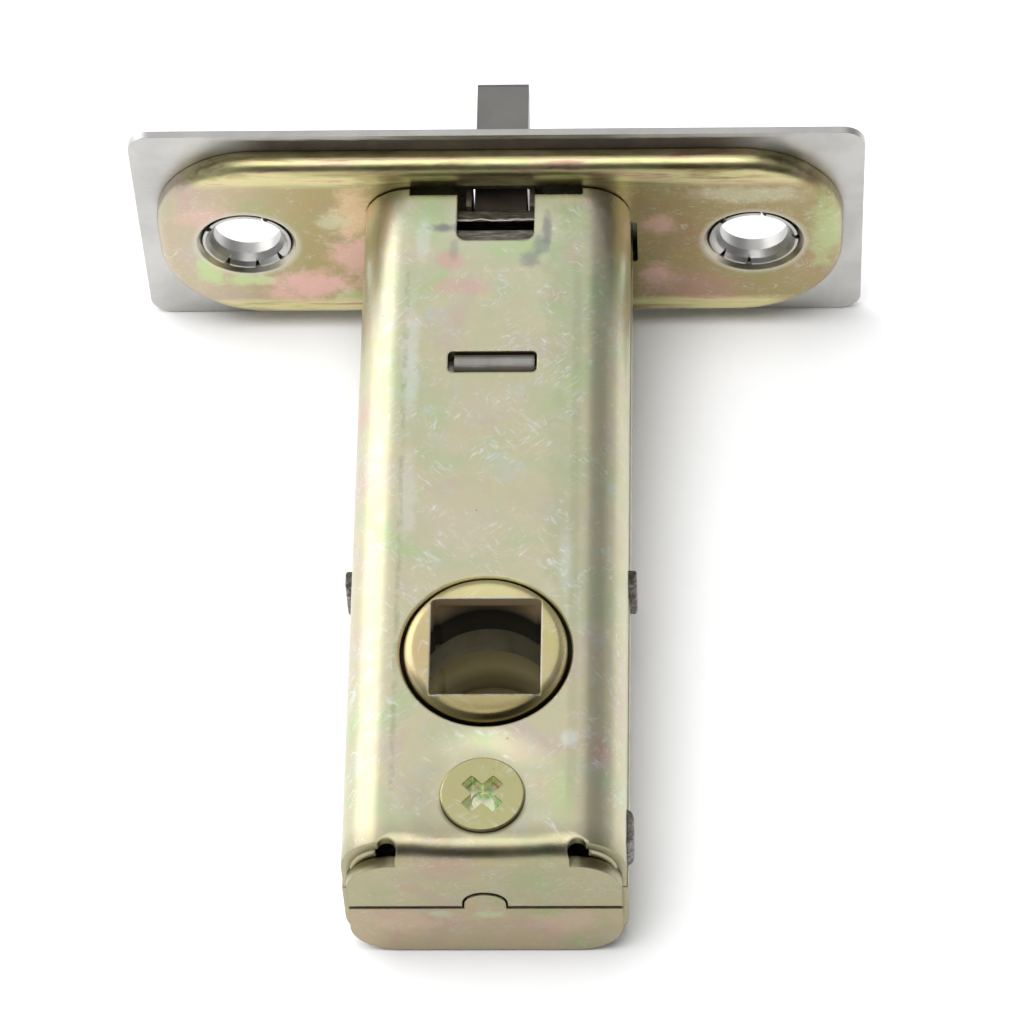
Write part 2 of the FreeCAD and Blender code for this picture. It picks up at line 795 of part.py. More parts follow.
def make_front_case():
    """Upper shell: the screw hole is countersunk."""
    body = make_case_shell("front_case", 1)
    turn = new_sketch(body, "XZ_Plane", "countersink", screw_depth)
    head = size("screw_head") / 2
    margin = size("sink_margin")
    draw_outline(
        turn,
        [
            (0, case_top + OVER),
            (head + margin + OVER, case_top + OVER),
            (head + margin - size("case_sheet") - margin, inner_top - margin),
            (0, inner_top - margin),
        ],
    )
    spin(body, "Groove", "countersink_turned", turn)
    return body


def make_rear_case():
    """Lower shell, with the half-round tab on its rear flap."""
    return make_case_shell("rear_case", -1)


# Tongue and what pulls it


def make_latch_tongue():
    """Stamped tongue: flat toward the viewer's side, bevelled on the other."""
    body = new_body("latch_tongue")
    root = -size("carrier_start")
    out = size("tongue_out")
    tenon = size("tenon_tall") / 2
    bevel_start = size("tongue_root")
    profile = new_sketch(body, "YZ_Plane", "profile", tongue_left)
    draw_outline(
        profile,
        [
            (root, -tongue_half),
            (bevel_start, -tongue_half),
            (out, tongue_half - size("tongue_nose")),
            (out, tongue_half),
            (root, tongue_half),
            (root, tenon),
            (-carrier_end, tenon),
            (-carrier_end, -tenon),
            (root, -tenon),
        ],
    )
    grow(body, "Pad", "plate", profile, size("tongue_thick"))
    round_edges(
        body,
        "nose",
        size("tongue_round"),
        lambda box: near(box.YMin, out) and near(box.YMax, out) and box.XLength > OVER,
    )
    pin_hole = new_sketch(body, "YZ_Plane", "pin_hole", tongue_left - OVER)
    draw_circle(pin_hole, -pin_depth, 0, size("pin_across") / 2 + size("press_gap"))
    grow(body, "Pocket", "pin_hole_cut", pin_hole, size("tongue_thick") + 2 * OVER, flip=True)
    return body


def make_bolt_carrier():
    """U bracket behind the tongue, open toward the viewer's side."""
    body = new_body("bolt_carrier")
    front = -size("carrier_start")
    leg = size("carrier_leg")
    profile = new_sketch(body, "YZ_Plane", "profile", -size("carrier_wide") / 2)
    draw_outline(
        profile,
        [
            (front, tongue_half),
            (front, -tongue_half),
            (-carrier_end, -tongue_half),
            (-carrier_end, tongue_half),
            (leg - carrier_end, tongue_half),
            (leg - carrier_end, leg - tongue_half),
            (front - leg, leg - tongue_half),
            (front - leg, tongue_half),
        ],
    )
    grow(body, "Pad", "strap", profile, size("carrier_wide"))
    mortise = new_sketch(body, "XZ_Plane", "mortise", size("carrier_start") - OVER)
    play = size("seat_gap")
    tenon = size("tenon_tall") / 2 + play
    draw_outline(
        mortise,
        [
            (tongue_left - play, -tenon),
            (tongue_right + play, -tenon),
            (tongue_right + play, tenon),
            (tongue_left - play, tenon),
        ],
    )
    grow(body, "Pocket", "mortise_cut", mortise, 2 * THROUGH, flip=True)
    return body


def make_carrier_pin():
    """Cross pin through the tongue's tenon, between the carrier's legs."""
    body = new_body("carrier_pin")
    sketch = new_sketch(body, "YZ_Plane", "round", size("tongue_offset") - size("pin_long") / 2)
    draw_circle(sketch, -pin_depth, 0, size("pin_across") / 2)
    grow(body, "Pad", "pin", sketch, size("pin_long"))
    return body


def make_bolt_guide():
    """Sheet guide behind the forend with a cheek on each side of the tongue."""
    body = new_body("bolt_guide")
    front = size("face_thick") + size("seat_gap")
    thick = size("guide_sheet")
    gap = size("guide_play")
    flange = new_sketch(body, "XZ_Plane", "flange", front)
    wide, tall = size("flange_wide") / 2, size("flange_tall") / 2
    draw_rounded(flange, -wide, wide, -tall, tall, size("flange_corner"))
    draw_rounded(
        flange,
        tongue_left - gap,
        tongue_right + gap,
        -tongue_half - gap,
        tongue_half + gap,
        TAB_CORNER,
    )
    grow(body, "Pad", "flange_pad", flange, size("flange_thick"))
    cheek_half = tongue_half + size("cheek_over")
    for side, inner, outer in (
        ("left", tongue_left - gap, tongue_left - gap - thick),
        ("right", tongue_right + gap, tongue_right + gap + thick),
    ):
        cheek = new_sketch(body, "XZ_Plane", "cheek_%s" % side, front)
        corners = [(inner, -cheek_half), (outer, -cheek_half), (outer, cheek_half), (inner, cheek_half)]
        draw_outline(cheek, corners)
        grow(body, "Pad", "cheek_%s_pad" % side, cheek, size("guide_end") - front)
    return body


def make_tail_rod():
    body = new_body("tail_rod")
    sketch = new_sketch(body, "XZ_Plane", "round", carrier_end)
    draw_circle(sketch, 0, 0, rod_radius)
    grow(body, "Pad", "rod", sketch, web_end + size("head_thick") + size("rivet_proud") - carrier_end)
    return body


def make_tail_head():
    """Ring riveted on the rod behind the yoke's web."""
    body = new_body("tail_head")
    sketch = new_sketch(body, "XZ_Plane", "ring", web_end + size("seat_gap"))
    draw_circle(sketch, 0, 0, size("head_across") / 2)
    draw_circle(sketch, 0, 0, rod_radius + size("press_gap"))
    grow(body, "Pad", "head", sketch, size("head_thick"))
    return body


def make_guide_plate():
    """Plate across the case; its tabs show in the slots of both shells."""
    body = new_body("guide_plate")
    start = size("slot_start") + size("hole_play")
    up = inner_top - size("guide_play")
    corner = size("case_corner") - size("case_sheet") - size("guide_play")
    outline = new_sketch(body, "XZ_Plane", "outline", start)
    draw_rounded(outline, -plate_half, plate_half, -up, up, corner)
    grow(body, "Pad", "plate", outline, size("guide_plate_thick"))
    tab = new_sketch(body, "XZ_Plane", "tab", start)
    left = size("guide_tab_shift") - size("guide_tab_wide") / 2
    right = size("guide_tab_shift") + size("guide_tab_wide") / 2
    reach = case_top - size("hole_play")
    draw_outline(tab, [(left, -reach), (right, -reach), (right, reach), (left, reach)])
    grow(body, "Pad", "tabs", tab, size("guide_plate_thick"))
    round_edges(
        body,
        "tab_round",
        SMALL_CORNER,
        lambda box: near(abs(box.ZMin), reach) and near(box.ZMin, box.ZMax) and box.XLength > OVER,
    )
    hole = new_sketch(body, "XZ_Plane", "hole", start - OVER)
    draw_circle(hole, 0, 0, rod_radius + size("hole_play"))
    grow(body, "Pocket", "hole_cut", hole, THROUGH, flip=True)
    return body


def make_stop_plate():
    """Plate that the heavy spring rests on, staked in both side walls."""
    body = new_body("stop_plate")
    half, up = plate_half, yoke_inner - size("mouth_gap")
    outline = new_sketch(body, "XZ_Plane", "outline", size("stop_start"))
    draw_outline(outline, [(-half, -up), (half, -up), (half, up), (-half, up)])
    grow(body, "Pad", "plate", outline, size("stop_thick"))
    tab = new_sketch(body, "XZ_Plane", "tab", size("stop_start"))
    reach = size("case_wide") / 2 + size("stop_proud")
    tall = size("stop_tab_tall") / 2
    draw_outline(tab, [(-reach, -tall), (reach, -tall), (reach, tall), (-reach, tall)])
    grow(body, "Pad", "tabs", tab, size("stop_thick"))
    round_edges(
        body,
        "tab_round",
        size("stop_tab_round"),
        lambda box: near(abs(box.XMin), reach) and near(box.XMin, box.XMax),
    )
    return body


def make_yoke_frame():
    """Folded frame: front web, two broad strips and a lug behind each cam arm."""
    body = new_body("yoke_frame")
    front = size("yoke_start")
    profile = new_sketch(body, "YZ_Plane", "profile", -size("yoke_wide") / 2)
    draw_outline(
        profile,
        [
            (-front, -yoke_top),
            (-front, yoke_top),
            (-size("yoke_end"), yoke_top),
            (-size("yoke_end"), yoke_inner),
            (-web_end, yoke_inner),
            (-web_end, -yoke_inner),
            (-size("yoke_end"), -yoke_inner),
            (-size("yoke_end"), -yoke_top),
        ],
    )
    grow(body, "Pad", "strap", profile, size("yoke_wide"))
    round_edges(
        body,
        "folds",
        size("yoke_fold"),
        lambda box: near(box.YMin, -front) and near(box.YMax, -front) and box.XLength > THROUGH,
    )
    fork = new_sketch(body, "XY_Plane", "fork", yoke_top + OVER)
    inner = size("lug_inner")
    fork_end = size("yoke_end") + 2 * inner
    draw_rounded(
        fork, -inner, inner, -fork_end, -size("fork_start"), inner - size("hole_play")
    )
    grow(body, "Pocket", "fork_cut", fork, size("yoke_tall") + 2 * OVER)
    for side, edge in (("left", -1), ("right", 1)):
        lug = new_sketch(body, "XY_Plane", "lug_%s" % side, -yoke_inner - size("hole_play"))
        near_x, far_x = inner * edge, size("yoke_wide") / 2 * edge
        back = size("lug_front") + size("lug_thick")
        draw_outline(
            lug,
            [
                (near_x, -size("lug_front")),
                (far_x, -size("lug_front")),
                (far_x, -back),
                (near_x, -back),
            ],
        )
        grow(body, "Pad", "lug_%s_pad" % side, lug, 2 * (yoke_inner + size("hole_play")))
    hole = new_sketch(body, "XZ_Plane", "rod_hole", front - OVER)
    draw_circle(hole, 0, 0, rod_radius + size("hole_play"))
    grow(body, "Pocket", "rod_hole_cut", hole, THROUGH, flip=True)
    return body


def make_spring_washer():
    body = new_body("spring_washer")
    sketch = new_sketch(body, "XZ_Plane", "ring", web_end)
    draw_circle(sketch, 0, 0, size("washer_across") / 2)
    draw_circle(sketch, 0, 0, size("washer_bore") / 2)
    grow(body, "Pad", "washer", sketch, size("washer_thick"))
    return body


# Hub


def make_hub_bush(name, turn):
    """Drawn cup: flange inside the case, domed boss through it, square in its end wall."""
    body = new_body(name, (0, -hub_depth, 0), turn)
    boss = size("boss_across") / 2
    flat = size("boss_flat") / 2
    top = size("boss_top")
    cavity = size("hub_cavity") / 2
    neck = cavity + size("hub_wall")
    end_wall = top - size("hub_end_wall")
    flange = neck + size("hub_flange")
    flange_top = inner_top - size("hub_play")
    flange_foot = flange_top - size("hub_flange_thick")
    dome = boss - flat
    quarter = [math.pi / 2 * step / DOME_STEPS for step in range(DOME_STEPS + 1)]
    rounding = [
        (flat + dome * math.cos(turn), top - dome + dome * math.sin(turn)) for turn in quarter
    ]
    profile = new_sketch(body, "XZ_Plane", "profile")
    section = [
        (cavity, size("cam_thick") / 2),
        (neck, size("cam_thick") / 2),
        (neck, flange_foot),
        (flange, flange_foot),
        (flange, flange_top),
        (boss, flange_top),
    ]
    section = section + rounding + [(0, top), (0, end_wall), (cavity, end_wall)]
    draw_outline(profile, section)
    spin(body, "Revolution", "drawn", profile)
    half = size("socket") / 2
    square = new_sketch(body, "XY_Plane", "socket", top + OVER)
    draw_rounded(square, -half, half, -half, half, size("socket_corner"))
    grow(body, "Pocket", "socket_cut", square, top + 2 * OVER)
    return body


def make_hub_cam():
    """Ring between the cups, with two arms that lean toward the tongue at rest."""
    body = new_body("hub_cam", (0, -hub_depth, 0))
    level = -size("cam_thick") / 2
    disc = new_sketch(body, "XY_Plane", "disc", level)
    draw_circle(disc, 0, 0, size("cam_across") / 2)
    grow(body, "Pad", "disc_pad", disc, size("cam_thick"))
    arm = size("arm_wide") / 2
    for side, lead in (("right", size("arm_lead")), ("left", as_dim(180) - size("arm_lead"))):
        finger = new_sketch(body, "XY_Plane", "arm_%s" % side, level, lead)
        draw_rounded(
            finger, size("arm_wide"), size("arm_reach"), -arm, arm, arm - size("press_gap")
        )
        grow(body, "Pad", "arm_%s_pad" % side, finger, size("cam_thick"))
    bore = new_sketch(body, "XY_Plane", "bore", level - OVER)
    draw_circle(bore, 0, 0, size("hub_cavity") / 2)
    grow(body, "Pocket", "bore_cut", bore, size("cam_thick") + 2 * OVER, flip=True)
    return body


# Screw and the bar that it goes into


def make_case_screw():
    """Countersunk screw whose cross recess is turned by 45 degrees."""
    body = new_body("case_screw", (0, -screw_depth, 0))
    head = size("screw_head") / 2
    shank = size("screw_shank") / 2
    foot = -size("screw_foot")
    edge = size("hole_play")
    profile = new_sketch(body, "XZ_Plane", "profile")
    top = case_top + size("screw_proud")
    draw_outline(
        profile,
        [
            (0, foot),
            (shank, foot),
            (shank, case_top - head + shank),
            (head, case_top),
            (head, top - edge),
            (head - edge, top),
            (0, top),
        ],
    )
    spin(body, "Revolution", "turned", profile)
    wing = size("screw_cross") / 2
    arm = size("screw_cross_wide") / 2
    deep = size("screw_cross_deep")
    for name, turn in (("first", 45.0), ("second", 135.0)):
        recess = new_sketch(body, "XY_Plane", "recess_%s" % name, top + OVER, as_dim(turn))
        draw_rounded(recess, -wing, wing, -arm, arm, edge)
        grow(body, "Pocket", "recess_%s_cut" % name, recess, deep + OVER)
    core = new_sketch(body, "XY_Plane", "recess_core", top + OVER)
    draw_circle(core, 0, 0, size("screw_core") / 2)
    grow(body, "Pocket", "recess_core_cut", core, deep + size("mouth_gap") + OVER)
    return body


def make_screw_pillar():
    """Bar across the case that the screw goes into, its ends in the side windows."""
    body = new_body("screw_pillar", (0, -screw_depth, size("nut_rise")))
    wide = size("nut_wide") / 2
    thick = size("nut_thick") / 2
    up = size("nut_tall") / 2
    block = new_sketch(body, "XZ_Plane", "block", -wide)
    draw_rounded(block, -plate_half, plate_half, -up, up, size("nut_corner"))
    grow(body, "Pad", "bar", block, 2 * wide)
    tab = new_sketch(body, "XZ_Plane", "tab", -thick)
    reach = size("case_wide") / 2 + size("nut_proud")
    hidden = size("case_wide") / 2 - size("nut_sunk")
    tall = size("nut_tab_tall") / 2
    draw_outline(tab, [(-hidden, -tall), (reach, -tall), (reach, tall), (-hidden, tall)])
    grow(body, "Pad", "tabs", tab, 2 * thick)
    round_edges(
        body,
        "tab_round",
        size("nut_corner"),
        lambda box: near(box.XMin, reach) and near(box.XMin, box.XMax),
    )
    hole = new_sketch(body, "XY_Plane", "screw_hole", up + OVER)
    draw_circle(hole, 0, 0, size("screw_shank") / 2 + size("seat_gap"))
    grow(body, "Pocket", "screw_hole_cut", hole, size("nut_tall") + 2 * OVER)
    return body


# Springs


def make_spring(name, start, end, coil, wire):
    """Open coil of square wire round the tail rod, from one depth to another."""
    coil_radius = size(coil) / 2
    wire = size(wire) / 2
    helix = doc.addObject("Part::Helix", "%s_path" % name)
    bind(helix, "Radius", coil_radius)
    bind(helix, "Height", end - start - 2 * wire)
    bind(helix, "Pitch", (end - start - 2 * wire) / COIL_TURNS)
    section = doc.addObject("Part::RegularPolygon", "%s_section" % name)
    section.Polygon = 4
    bind(section, "Circumradius", wire)
    section.Placement = FreeCAD.Placement(
        FreeCAD.Vector(0, 0, 0), FreeCAD.Rotation(FreeCAD.Vector(1, 0, 0), 90)
    )
    bind(section, "Placement.Base.x", coil_radius)
    doc.recompute()
    spring = doc.addObject("Part::Sweep", name)
    spring.Label = name
    spring.Sections = [section]
    spring.Spine = (helix, ["Edge%d" % (i + 1) for i in range(len(helix.Shape.Edges))])
    spring.Solid = True
    spring.Frenet = True
    spring.Placement = FreeCAD.Placement(
        FreeCAD.Vector(0, 0, 0), FreeCAD.Rotation(FreeCAD.Vector(1, 0, 0), 90)
    )
    bind(spring, "Placement.Base.y", -(start + wire))
    doc.recompute()
    return spring


seat_gap = size("seat_gap")
parts = [
    make_outer_faceplate(),
    make_inner_faceplate(),
    make_front_case(),
    make_rear_case(),
    make_latch_tongue(),
    make_bolt_carrier(),
    make_carrier_pin(),
    make_bolt_guide(),
    make_tail_rod(),
    make_tail_head(),
    make_guide_plate(),
    make_stop_plate(),
    make_yoke_frame(),
    make_spring_washer(),
    make_hub_bush("hub_upper_bush", FreeCAD.Rotation()),
    make_hub_bush("hub_lower_bush", FreeCAD.Rotation(FreeCAD.Vector(1, 0, 0), 180)),
    make_hub_cam(),
    make_case_screw(),
    make_screw_pillar(),
    make_spring(
        "bolt_spring",
        carrier_end + seat_gap,
        size("slot_start") + seat_gap,
        "bolt_coil",
        "bolt_wire",
    ),
    make_spring(
        "return_spring",
        web_end + size("washer_thick") + seat_gap,
        size("stop_start") - seat_gap,
        "return_coil",
        "return_wire",
    ),
]

# Every object has recomputed and every sub-part is one valid solid

doc.recompute()
for thing in doc.Objects:
    if "Invalid" in thing.State or "Error" in thing.State:
        raise ValueError("%s did not recompute" % thing.Name)
for part in parts:
    shape = part.Shape
    if shape.isNull() or not shape.isValid() or len(shape.Solids) != 1:
        raise ValueError("%s is not one valid solid" % part.Label)

os.makedirs("parts", exist_ok=True)
for part in parts:
    part.Shape.exportStep(os.path.join("parts", "%s.step" % part.Label))
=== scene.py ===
import math

import bpy
from mathutils import Matrix, Vector


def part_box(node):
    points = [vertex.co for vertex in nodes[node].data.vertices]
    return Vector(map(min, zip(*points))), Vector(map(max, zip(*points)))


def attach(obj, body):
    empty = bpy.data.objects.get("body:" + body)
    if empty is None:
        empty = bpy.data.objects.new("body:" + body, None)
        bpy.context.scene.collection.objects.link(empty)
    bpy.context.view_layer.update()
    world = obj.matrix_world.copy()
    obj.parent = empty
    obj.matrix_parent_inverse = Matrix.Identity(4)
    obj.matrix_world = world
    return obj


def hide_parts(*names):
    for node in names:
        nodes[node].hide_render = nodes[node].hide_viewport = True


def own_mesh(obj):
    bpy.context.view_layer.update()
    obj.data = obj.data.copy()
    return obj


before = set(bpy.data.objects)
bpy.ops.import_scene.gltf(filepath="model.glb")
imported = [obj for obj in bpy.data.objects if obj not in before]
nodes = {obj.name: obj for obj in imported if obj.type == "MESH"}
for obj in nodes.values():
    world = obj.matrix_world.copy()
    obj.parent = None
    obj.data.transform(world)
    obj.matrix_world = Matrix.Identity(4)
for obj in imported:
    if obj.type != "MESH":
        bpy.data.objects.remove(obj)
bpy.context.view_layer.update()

MM = 0.001

# Camera, fitted to the photograph; pixels are those of a 1024 by 1024 image
IMAGE_PX = 1024
FOCAL_PX = 5452.8
PRINCIPAL_PX = (492.3, 508.6)
CAMERA_AZIMUTH = math.radians(4.51)
CAMERA_ELEVATION = math.radians(57.36)
CAMERA_ROLL = math.radians(-4.06)
CAMERA_DISTANCE = 422.5 * MM
CAMERA_TARGET = Vector((-0.12 * MM, -27.62 * MM, 0.0))
SENSOR_MM = 36.0

# Places on the latch, in the row frame
HUB = Vector((0.0, -45.0 * MM, 0.0))
SCREW = Vector((0.0, -57.4 * MM, 7.55 * MM))
CASE_TOP = 7.55 * MM
CASE_MIDDLE = (0.0, -34.0 * MM, 0.0)
CREASE = 6.75 * MM
CASE_END = 62.3 * MM
FACE_HALF = 29.0 * MM
HOLE_ASIDE = 20.3 * MM
CARRIER_GLINT = -4.08 * MM
TAB_MIDDLE = -18.93 * MM


# Materials

# The levels between which nearly all of a noise lies
NOISE_SPAN = (0.3, 0.7)

# How ragged a patch is, and the shares of its size where it is full and where it ends
PATCH_RAGGED = 0.26
PATCH_CORE = 0.30
PATCH_RIM = 1.15

# The noise levels between which scratches set in
FIBRE_GATE = (0.58, 0.72)


class Shader:
    """A material under construction, with short calls for the nodes it uses."""

    def __init__(self, name):
        self.material = bpy.data.materials.new(name)
        self.material.use_nodes = True
        self.tree = self.material.node_tree
        self.bsdf = self.tree.nodes["Principled BSDF"]
        self.place = self.add("ShaderNodeTexCoord").outputs["Object"]
        self.ragged = None
        self.grain = None

    def add(self, kind, **props):
        node = self.tree.nodes.new(kind)
        for key, value in props.items():
            setattr(node, key, value)
        return node

    def feed(self, socket, value):
        if isinstance(value, bpy.types.NodeSocket):
            self.tree.links.new(value, socket)
        elif isinstance(value, tuple) and len(value) == 3 and socket.type == "RGBA":
            socket.default_value = (*value, 1.0)
        else:
            socket.default_value = value

    def stretched(self, stretch, turn=0.0):
        """The place drawn out along X, Y and Z, in axes turned about Z."""
        node = self.add("ShaderNodeMapping", vector_type="TEXTURE")
        self.feed(node.inputs["Vector"], self.place)
        node.inputs["Scale"].default_value = stretch
        node.inputs["Rotation"].default_value = (0.0, 0.0, turn)
        return node.outputs["Vector"]

    def shifted(self, offset):
        node = self.add("ShaderNodeMapping")
        self.feed(node.inputs["Vector"], self.place)
        node.inputs["Location"].default_value = offset
        return node.outputs["Vector"]

    def noise(self, size, detail=3.0, rough=0.5, warp=0.0, where=None):
        node = self.add("ShaderNodeTexNoise")
        self.feed(node.inputs["Vector"], where or self.place)
        node.inputs["Scale"].default_value = 1.0 / size
        node.inputs["Detail"].default_value = detail
        node.inputs["Roughness"].default_value = rough
        node.inputs["Distortion"].default_value = warp
        return node.outputs["Fac"]

    def band(self, value, low, high, top=1.0, foot=0.0):
        """Maps value from low..high to foot..top, held at both ends."""
        node = self.add("ShaderNodeMapRange", interpolation_type="SMOOTHSTEP")
        self.feed(node.inputs["Value"], value)
        node.inputs["From Min"].default_value = low
        node.inputs["From Max"].default_value = high
        node.inputs["To Min"].default_value = foot
        node.inputs["To Max"].default_value = top
        return node.outputs["Result"]

    def below(self, value, low, high, strength=1.0):
        """A mask that is full under low and gone above high."""
        return self.band(value, low, high, 0.0, strength)

    def math(self, kind, a, b=0.0):
        node = self.add("ShaderNodeMath", operation=kind)
        self.feed(node.inputs[0], a)
        self.feed(node.inputs[1], b)
        return node.outputs[0]

    def mix(self, share, a, b, blend="MIX"):
        node = self.add("ShaderNodeMix", data_type="RGBA", blend_type=blend)
        self.feed(node.inputs["Factor"], share)
        self.feed(node.inputs["A"], a)
        self.feed(node.inputs["B"], b)
        return node.outputs["Result"]

    def ramp(self, value, stops):
        node = self.add("ShaderNodeValToRGB")
        self.feed(node.inputs["Fac"], value)
        points = node.color_ramp.elements
        while len(points) < len(stops):
            points.new(0.5)
        for point, (at, color) in zip(points, stops):
            point.position = at
            point.color = (*color, 1.0)
        return node.outputs["Color"]

    def distance(self, centre, squeeze=(1.0, 1.0, 1.0)):
        """How far a point is from centre, in metres, with each axis squeezed."""
        move = self.add("ShaderNodeVectorMath", operation="SUBTRACT")
        self.feed(move.inputs[0], self.place)
        move.inputs[1].default_value = centre
        scale = self.add("ShaderNodeVectorMath", operation="MULTIPLY")
        self.feed(scale.inputs[0], move.outputs["Vector"])
        scale.inputs[1].default_value = squeeze
        length = self.add("ShaderNodeVectorMath", operation="LENGTH")
        self.feed(length.inputs[0], scale.outputs["Vector"])
        return length.outputs["Value"]

    def axes(self, centre=(0.0, 0.0, 0.0)):
        """The place along X, Y and Z from centre, without its sign."""
        move = self.add("ShaderNodeVectorMath", operation="SUBTRACT")
        self.feed(move.inputs[0], self.place)
        move.inputs[1].default_value = centre
        plain = self.add("ShaderNodeVectorMath", operation="ABSOLUTE")
        self.feed(plain.inputs[0], move.outputs["Vector"])
        split = self.add("ShaderNodeSeparateXYZ")
        self.feed(split.inputs[0], plain.outputs["Vector"])
        return split.outputs

    def along(self, axis, start, end):
        """How far the place lies along one axis: 0 at start, 1 at end."""
        split = self.add("ShaderNodeSeparateXYZ")
        self.feed(split.inputs[0], self.place)
        node = self.add("ShaderNodeMapRange", clamp=False)
        self.feed(node.inputs["Value"], split.outputs[axis])
        node.inputs["From Min"].default_value = start
        node.inputs["From Max"].default_value = end
        return node.outputs["Result"]

    def all_of(self, *masks):
        share = masks[0]
        for mask in masks[1:]:
            share = self.math("MULTIPLY", share, mask)
        return share

    def patch(self, centre, size):
        """A soft ragged spot, 1 in its middle and 0 outside, with the sizes along X, Y and Z."""
        if self.ragged is None:
            field = self.noise(1.3 * MM, 4.0, 0.6, 0.5)
            self.ragged = self.band(field, 0.25, 0.75, PATCH_RAGGED, -PATCH_RAGGED)
        squeeze = tuple(1.0 / s for s in size)
        far = self.math("ADD", self.distance(centre, squeeze), self.ragged)
        return self.below(far, PATCH_CORE, PATCH_RIM)

    def fibres(self, size, width, seed):
        """Thin curly scratches: short pieces of a noise field's contour lines."""
        where = self.shifted((seed * 0.011, seed * 0.017, seed * 0.005))
        field = self.noise(size, 1.5, 0.4, 1.4, where)
        off = self.math("ABSOLUTE", self.math("SUBTRACT", field, 0.5))
        line = self.below(off, 0.0, width)
        gate = self.band(self.noise(size * 1.3, 2.0, 0.5, 0.0, where), *FIBRE_GATE)
        return self.math("MULTIPLY", line, gate)

    def strokes(self, size, turn, seed):
        """Feathery rubbed strokes that lean one way, in loose groups."""
        fine = self.noise(size, 4.0, 0.65, 0.9, self.stretched((1.0, 4.0, 1.0), turn))
        group = self.noise(3.2 * MM, 3.0, 0.6, 0.4, self.shifted((seed * 0.019, 0.0, seed * 0.009)))
        return self.all_of(self.band(fine, 0.50, 0.74), self.band(group, 0.47, 0.66))

    def bump(self, height, depth, normal):
        node = self.add("ShaderNodeBump")
        node.inputs["Strength"].default_value = 1.0
        node.inputs["Distance"].default_value = depth
        self.feed(node.inputs["Height"], height)
        self.feed(node.inputs["Normal"], normal)
        return node.outputs["Normal"]

    def soft_edges(self, radius):
        node = self.add("ShaderNodeBevel", samples=3)
        node.inputs["Radius"].default_value = radius
        return node.outputs["Normal"]

    def finish(self, color, roughness, normal, metallic=1.0):
        self.feed(self.bsdf.inputs["Base Color"], color)
        self.feed(self.bsdf.inputs["Roughness"], roughness)
        self.feed(self.bsdf.inputs["Normal"], normal)
        self.feed(self.bsdf.inputs["Metallic"], metallic)
        return self.material


# Colours of the plating, its stains and its wear, and of painted shade and painted light
OLIVE = (0.600, 0.590, 0.400)
GREEN = (0.500, 0.620, 0.310)
STRAW = (0.660, 0.600, 0.400)
BEIGE = (0.640, 0.560, 0.430)
PINK = (0.730, 0.440, 0.400)
PALE = (0.860, 0.930, 0.960)
HAZE = (0.600, 0.670, 0.640)
MOSS = (0.430, 0.470, 0.290)
GOLD = (0.640, 0.560, 0.300)
# Painted shade in the gap round the hub's dome
GAP_PAINTED_SHADE = (0.020, 0.018, 0.014)
SPECK = (0.200, 0.170, 0.100)
# Painted light on the plate's hole rims
HOLE_RIM_PAINTED_LIGHT = (0.620, 0.600, 0.520)
# Painted shade along the shells' creases
CREASE_PAINTED_SHADE = (0.300, 0.310, 0.190)
# Painted shadow under the screw's head
SCREW_PAINTED_SHADOW = (0.130, 0.100, 0.045)
# Painted shade on the near foot of the hub's dome
DOME_PAINTED_SHADE = (0.160, 0.130, 0.055)
BARED = (0.620, 0.600, 0.560)
GREY_SMEAR = (0.260, 0.260, 0.270)
ORANGE = (0.700, 0.500, 0.300)
DUSK = (0.420, 0.250, 0.210)

# How round the plated pieces' edges look
SHELL_EDGE = 0.22 * MM
PLATE_EDGE = 0.14 * MM
SCREW_EDGE = 0.07 * MM

# Streaks along the inner plate's roll
ROLL_STREAKS = (
    (0.30, (0.26, 0.21, 0.10)),
    (0.42, (0.50, 0.42, 0.22)),
    (0.50, (0.62, 0.62, 0.30)),
    (0.58, (0.74, 0.58, 0.36)),
    (0.68, (0.42, 0.25, 0.20)),
)
ROLL_HEIGHT = (7.3 * MM, 8.3 * MM)

# How far the painted shade along the shells' creases reaches along the case from its middle
CREASE_ENDS = (22.0 * MM, 26.0 * MM)


def zinc_tint(s, seed, pinkness, gold):
    """Drifting green, straw and pink of a yellow chromate, with finer clouds on it."""
    drift = s.noise(6.0 * MM, 4.0, 0.55, 0.5, s.shifted((seed * 0.013, seed * 0.007, 0.0)))
    tint = s.ramp(
        drift,
        (
            (0.30, GREEN),
            (0.42, OLIVE),
            (0.52, STRAW),
            (0.60, BEIGE),
            (0.78 - pinkness, PINK),
        ),
    )
    clouds = s.noise(1.5 * MM, 5.0, 0.65, 0.4, s.shifted((0.0, seed * 0.011, 0.01)))
    tint = s.mix(s.band(clouds, 0.38, 0.62, 0.35), tint, OLIVE)
    haze = s.noise(2.4 * MM, 4.0, 0.6, 0.6, s.shifted((seed * 0.017, 0.02, 0.0)))
    tint = s.mix(s.band(haze, 0.52, 0.74, 0.45), tint, HAZE)
    if gold:
        tint = s.mix(gold, tint, GOLD)
    return tint, clouds


def zinc_wear(s, tint, seed, scratched):
    """Pale curly scratches and smears and a few dark specks."""
    lines = s.math("MAXIMUM", s.fibres(2.4 * MM, 0.022, seed), s.fibres(1.4 * MM, 0.030, seed + 3.0))
    rubbed = s.math("MAXIMUM", s.strokes(0.34 * MM, 0.8, seed), s.strokes(0.28 * MM, -0.9, seed + 2.0))
    marks = s.math("MAXIMUM", s.math("MULTIPLY", rubbed, 0.60), s.math("MULTIPLY", lines, 0.45))
    marks = s.math("MULTIPLY", marks, scratched)
    tint = s.mix(marks, tint, PALE)
    specks = s.band(s.noise(0.40 * MM, 2.0, 0.5), 0.77, 0.80, 0.6)
    return s.mix(specks, tint, SPECK), marks


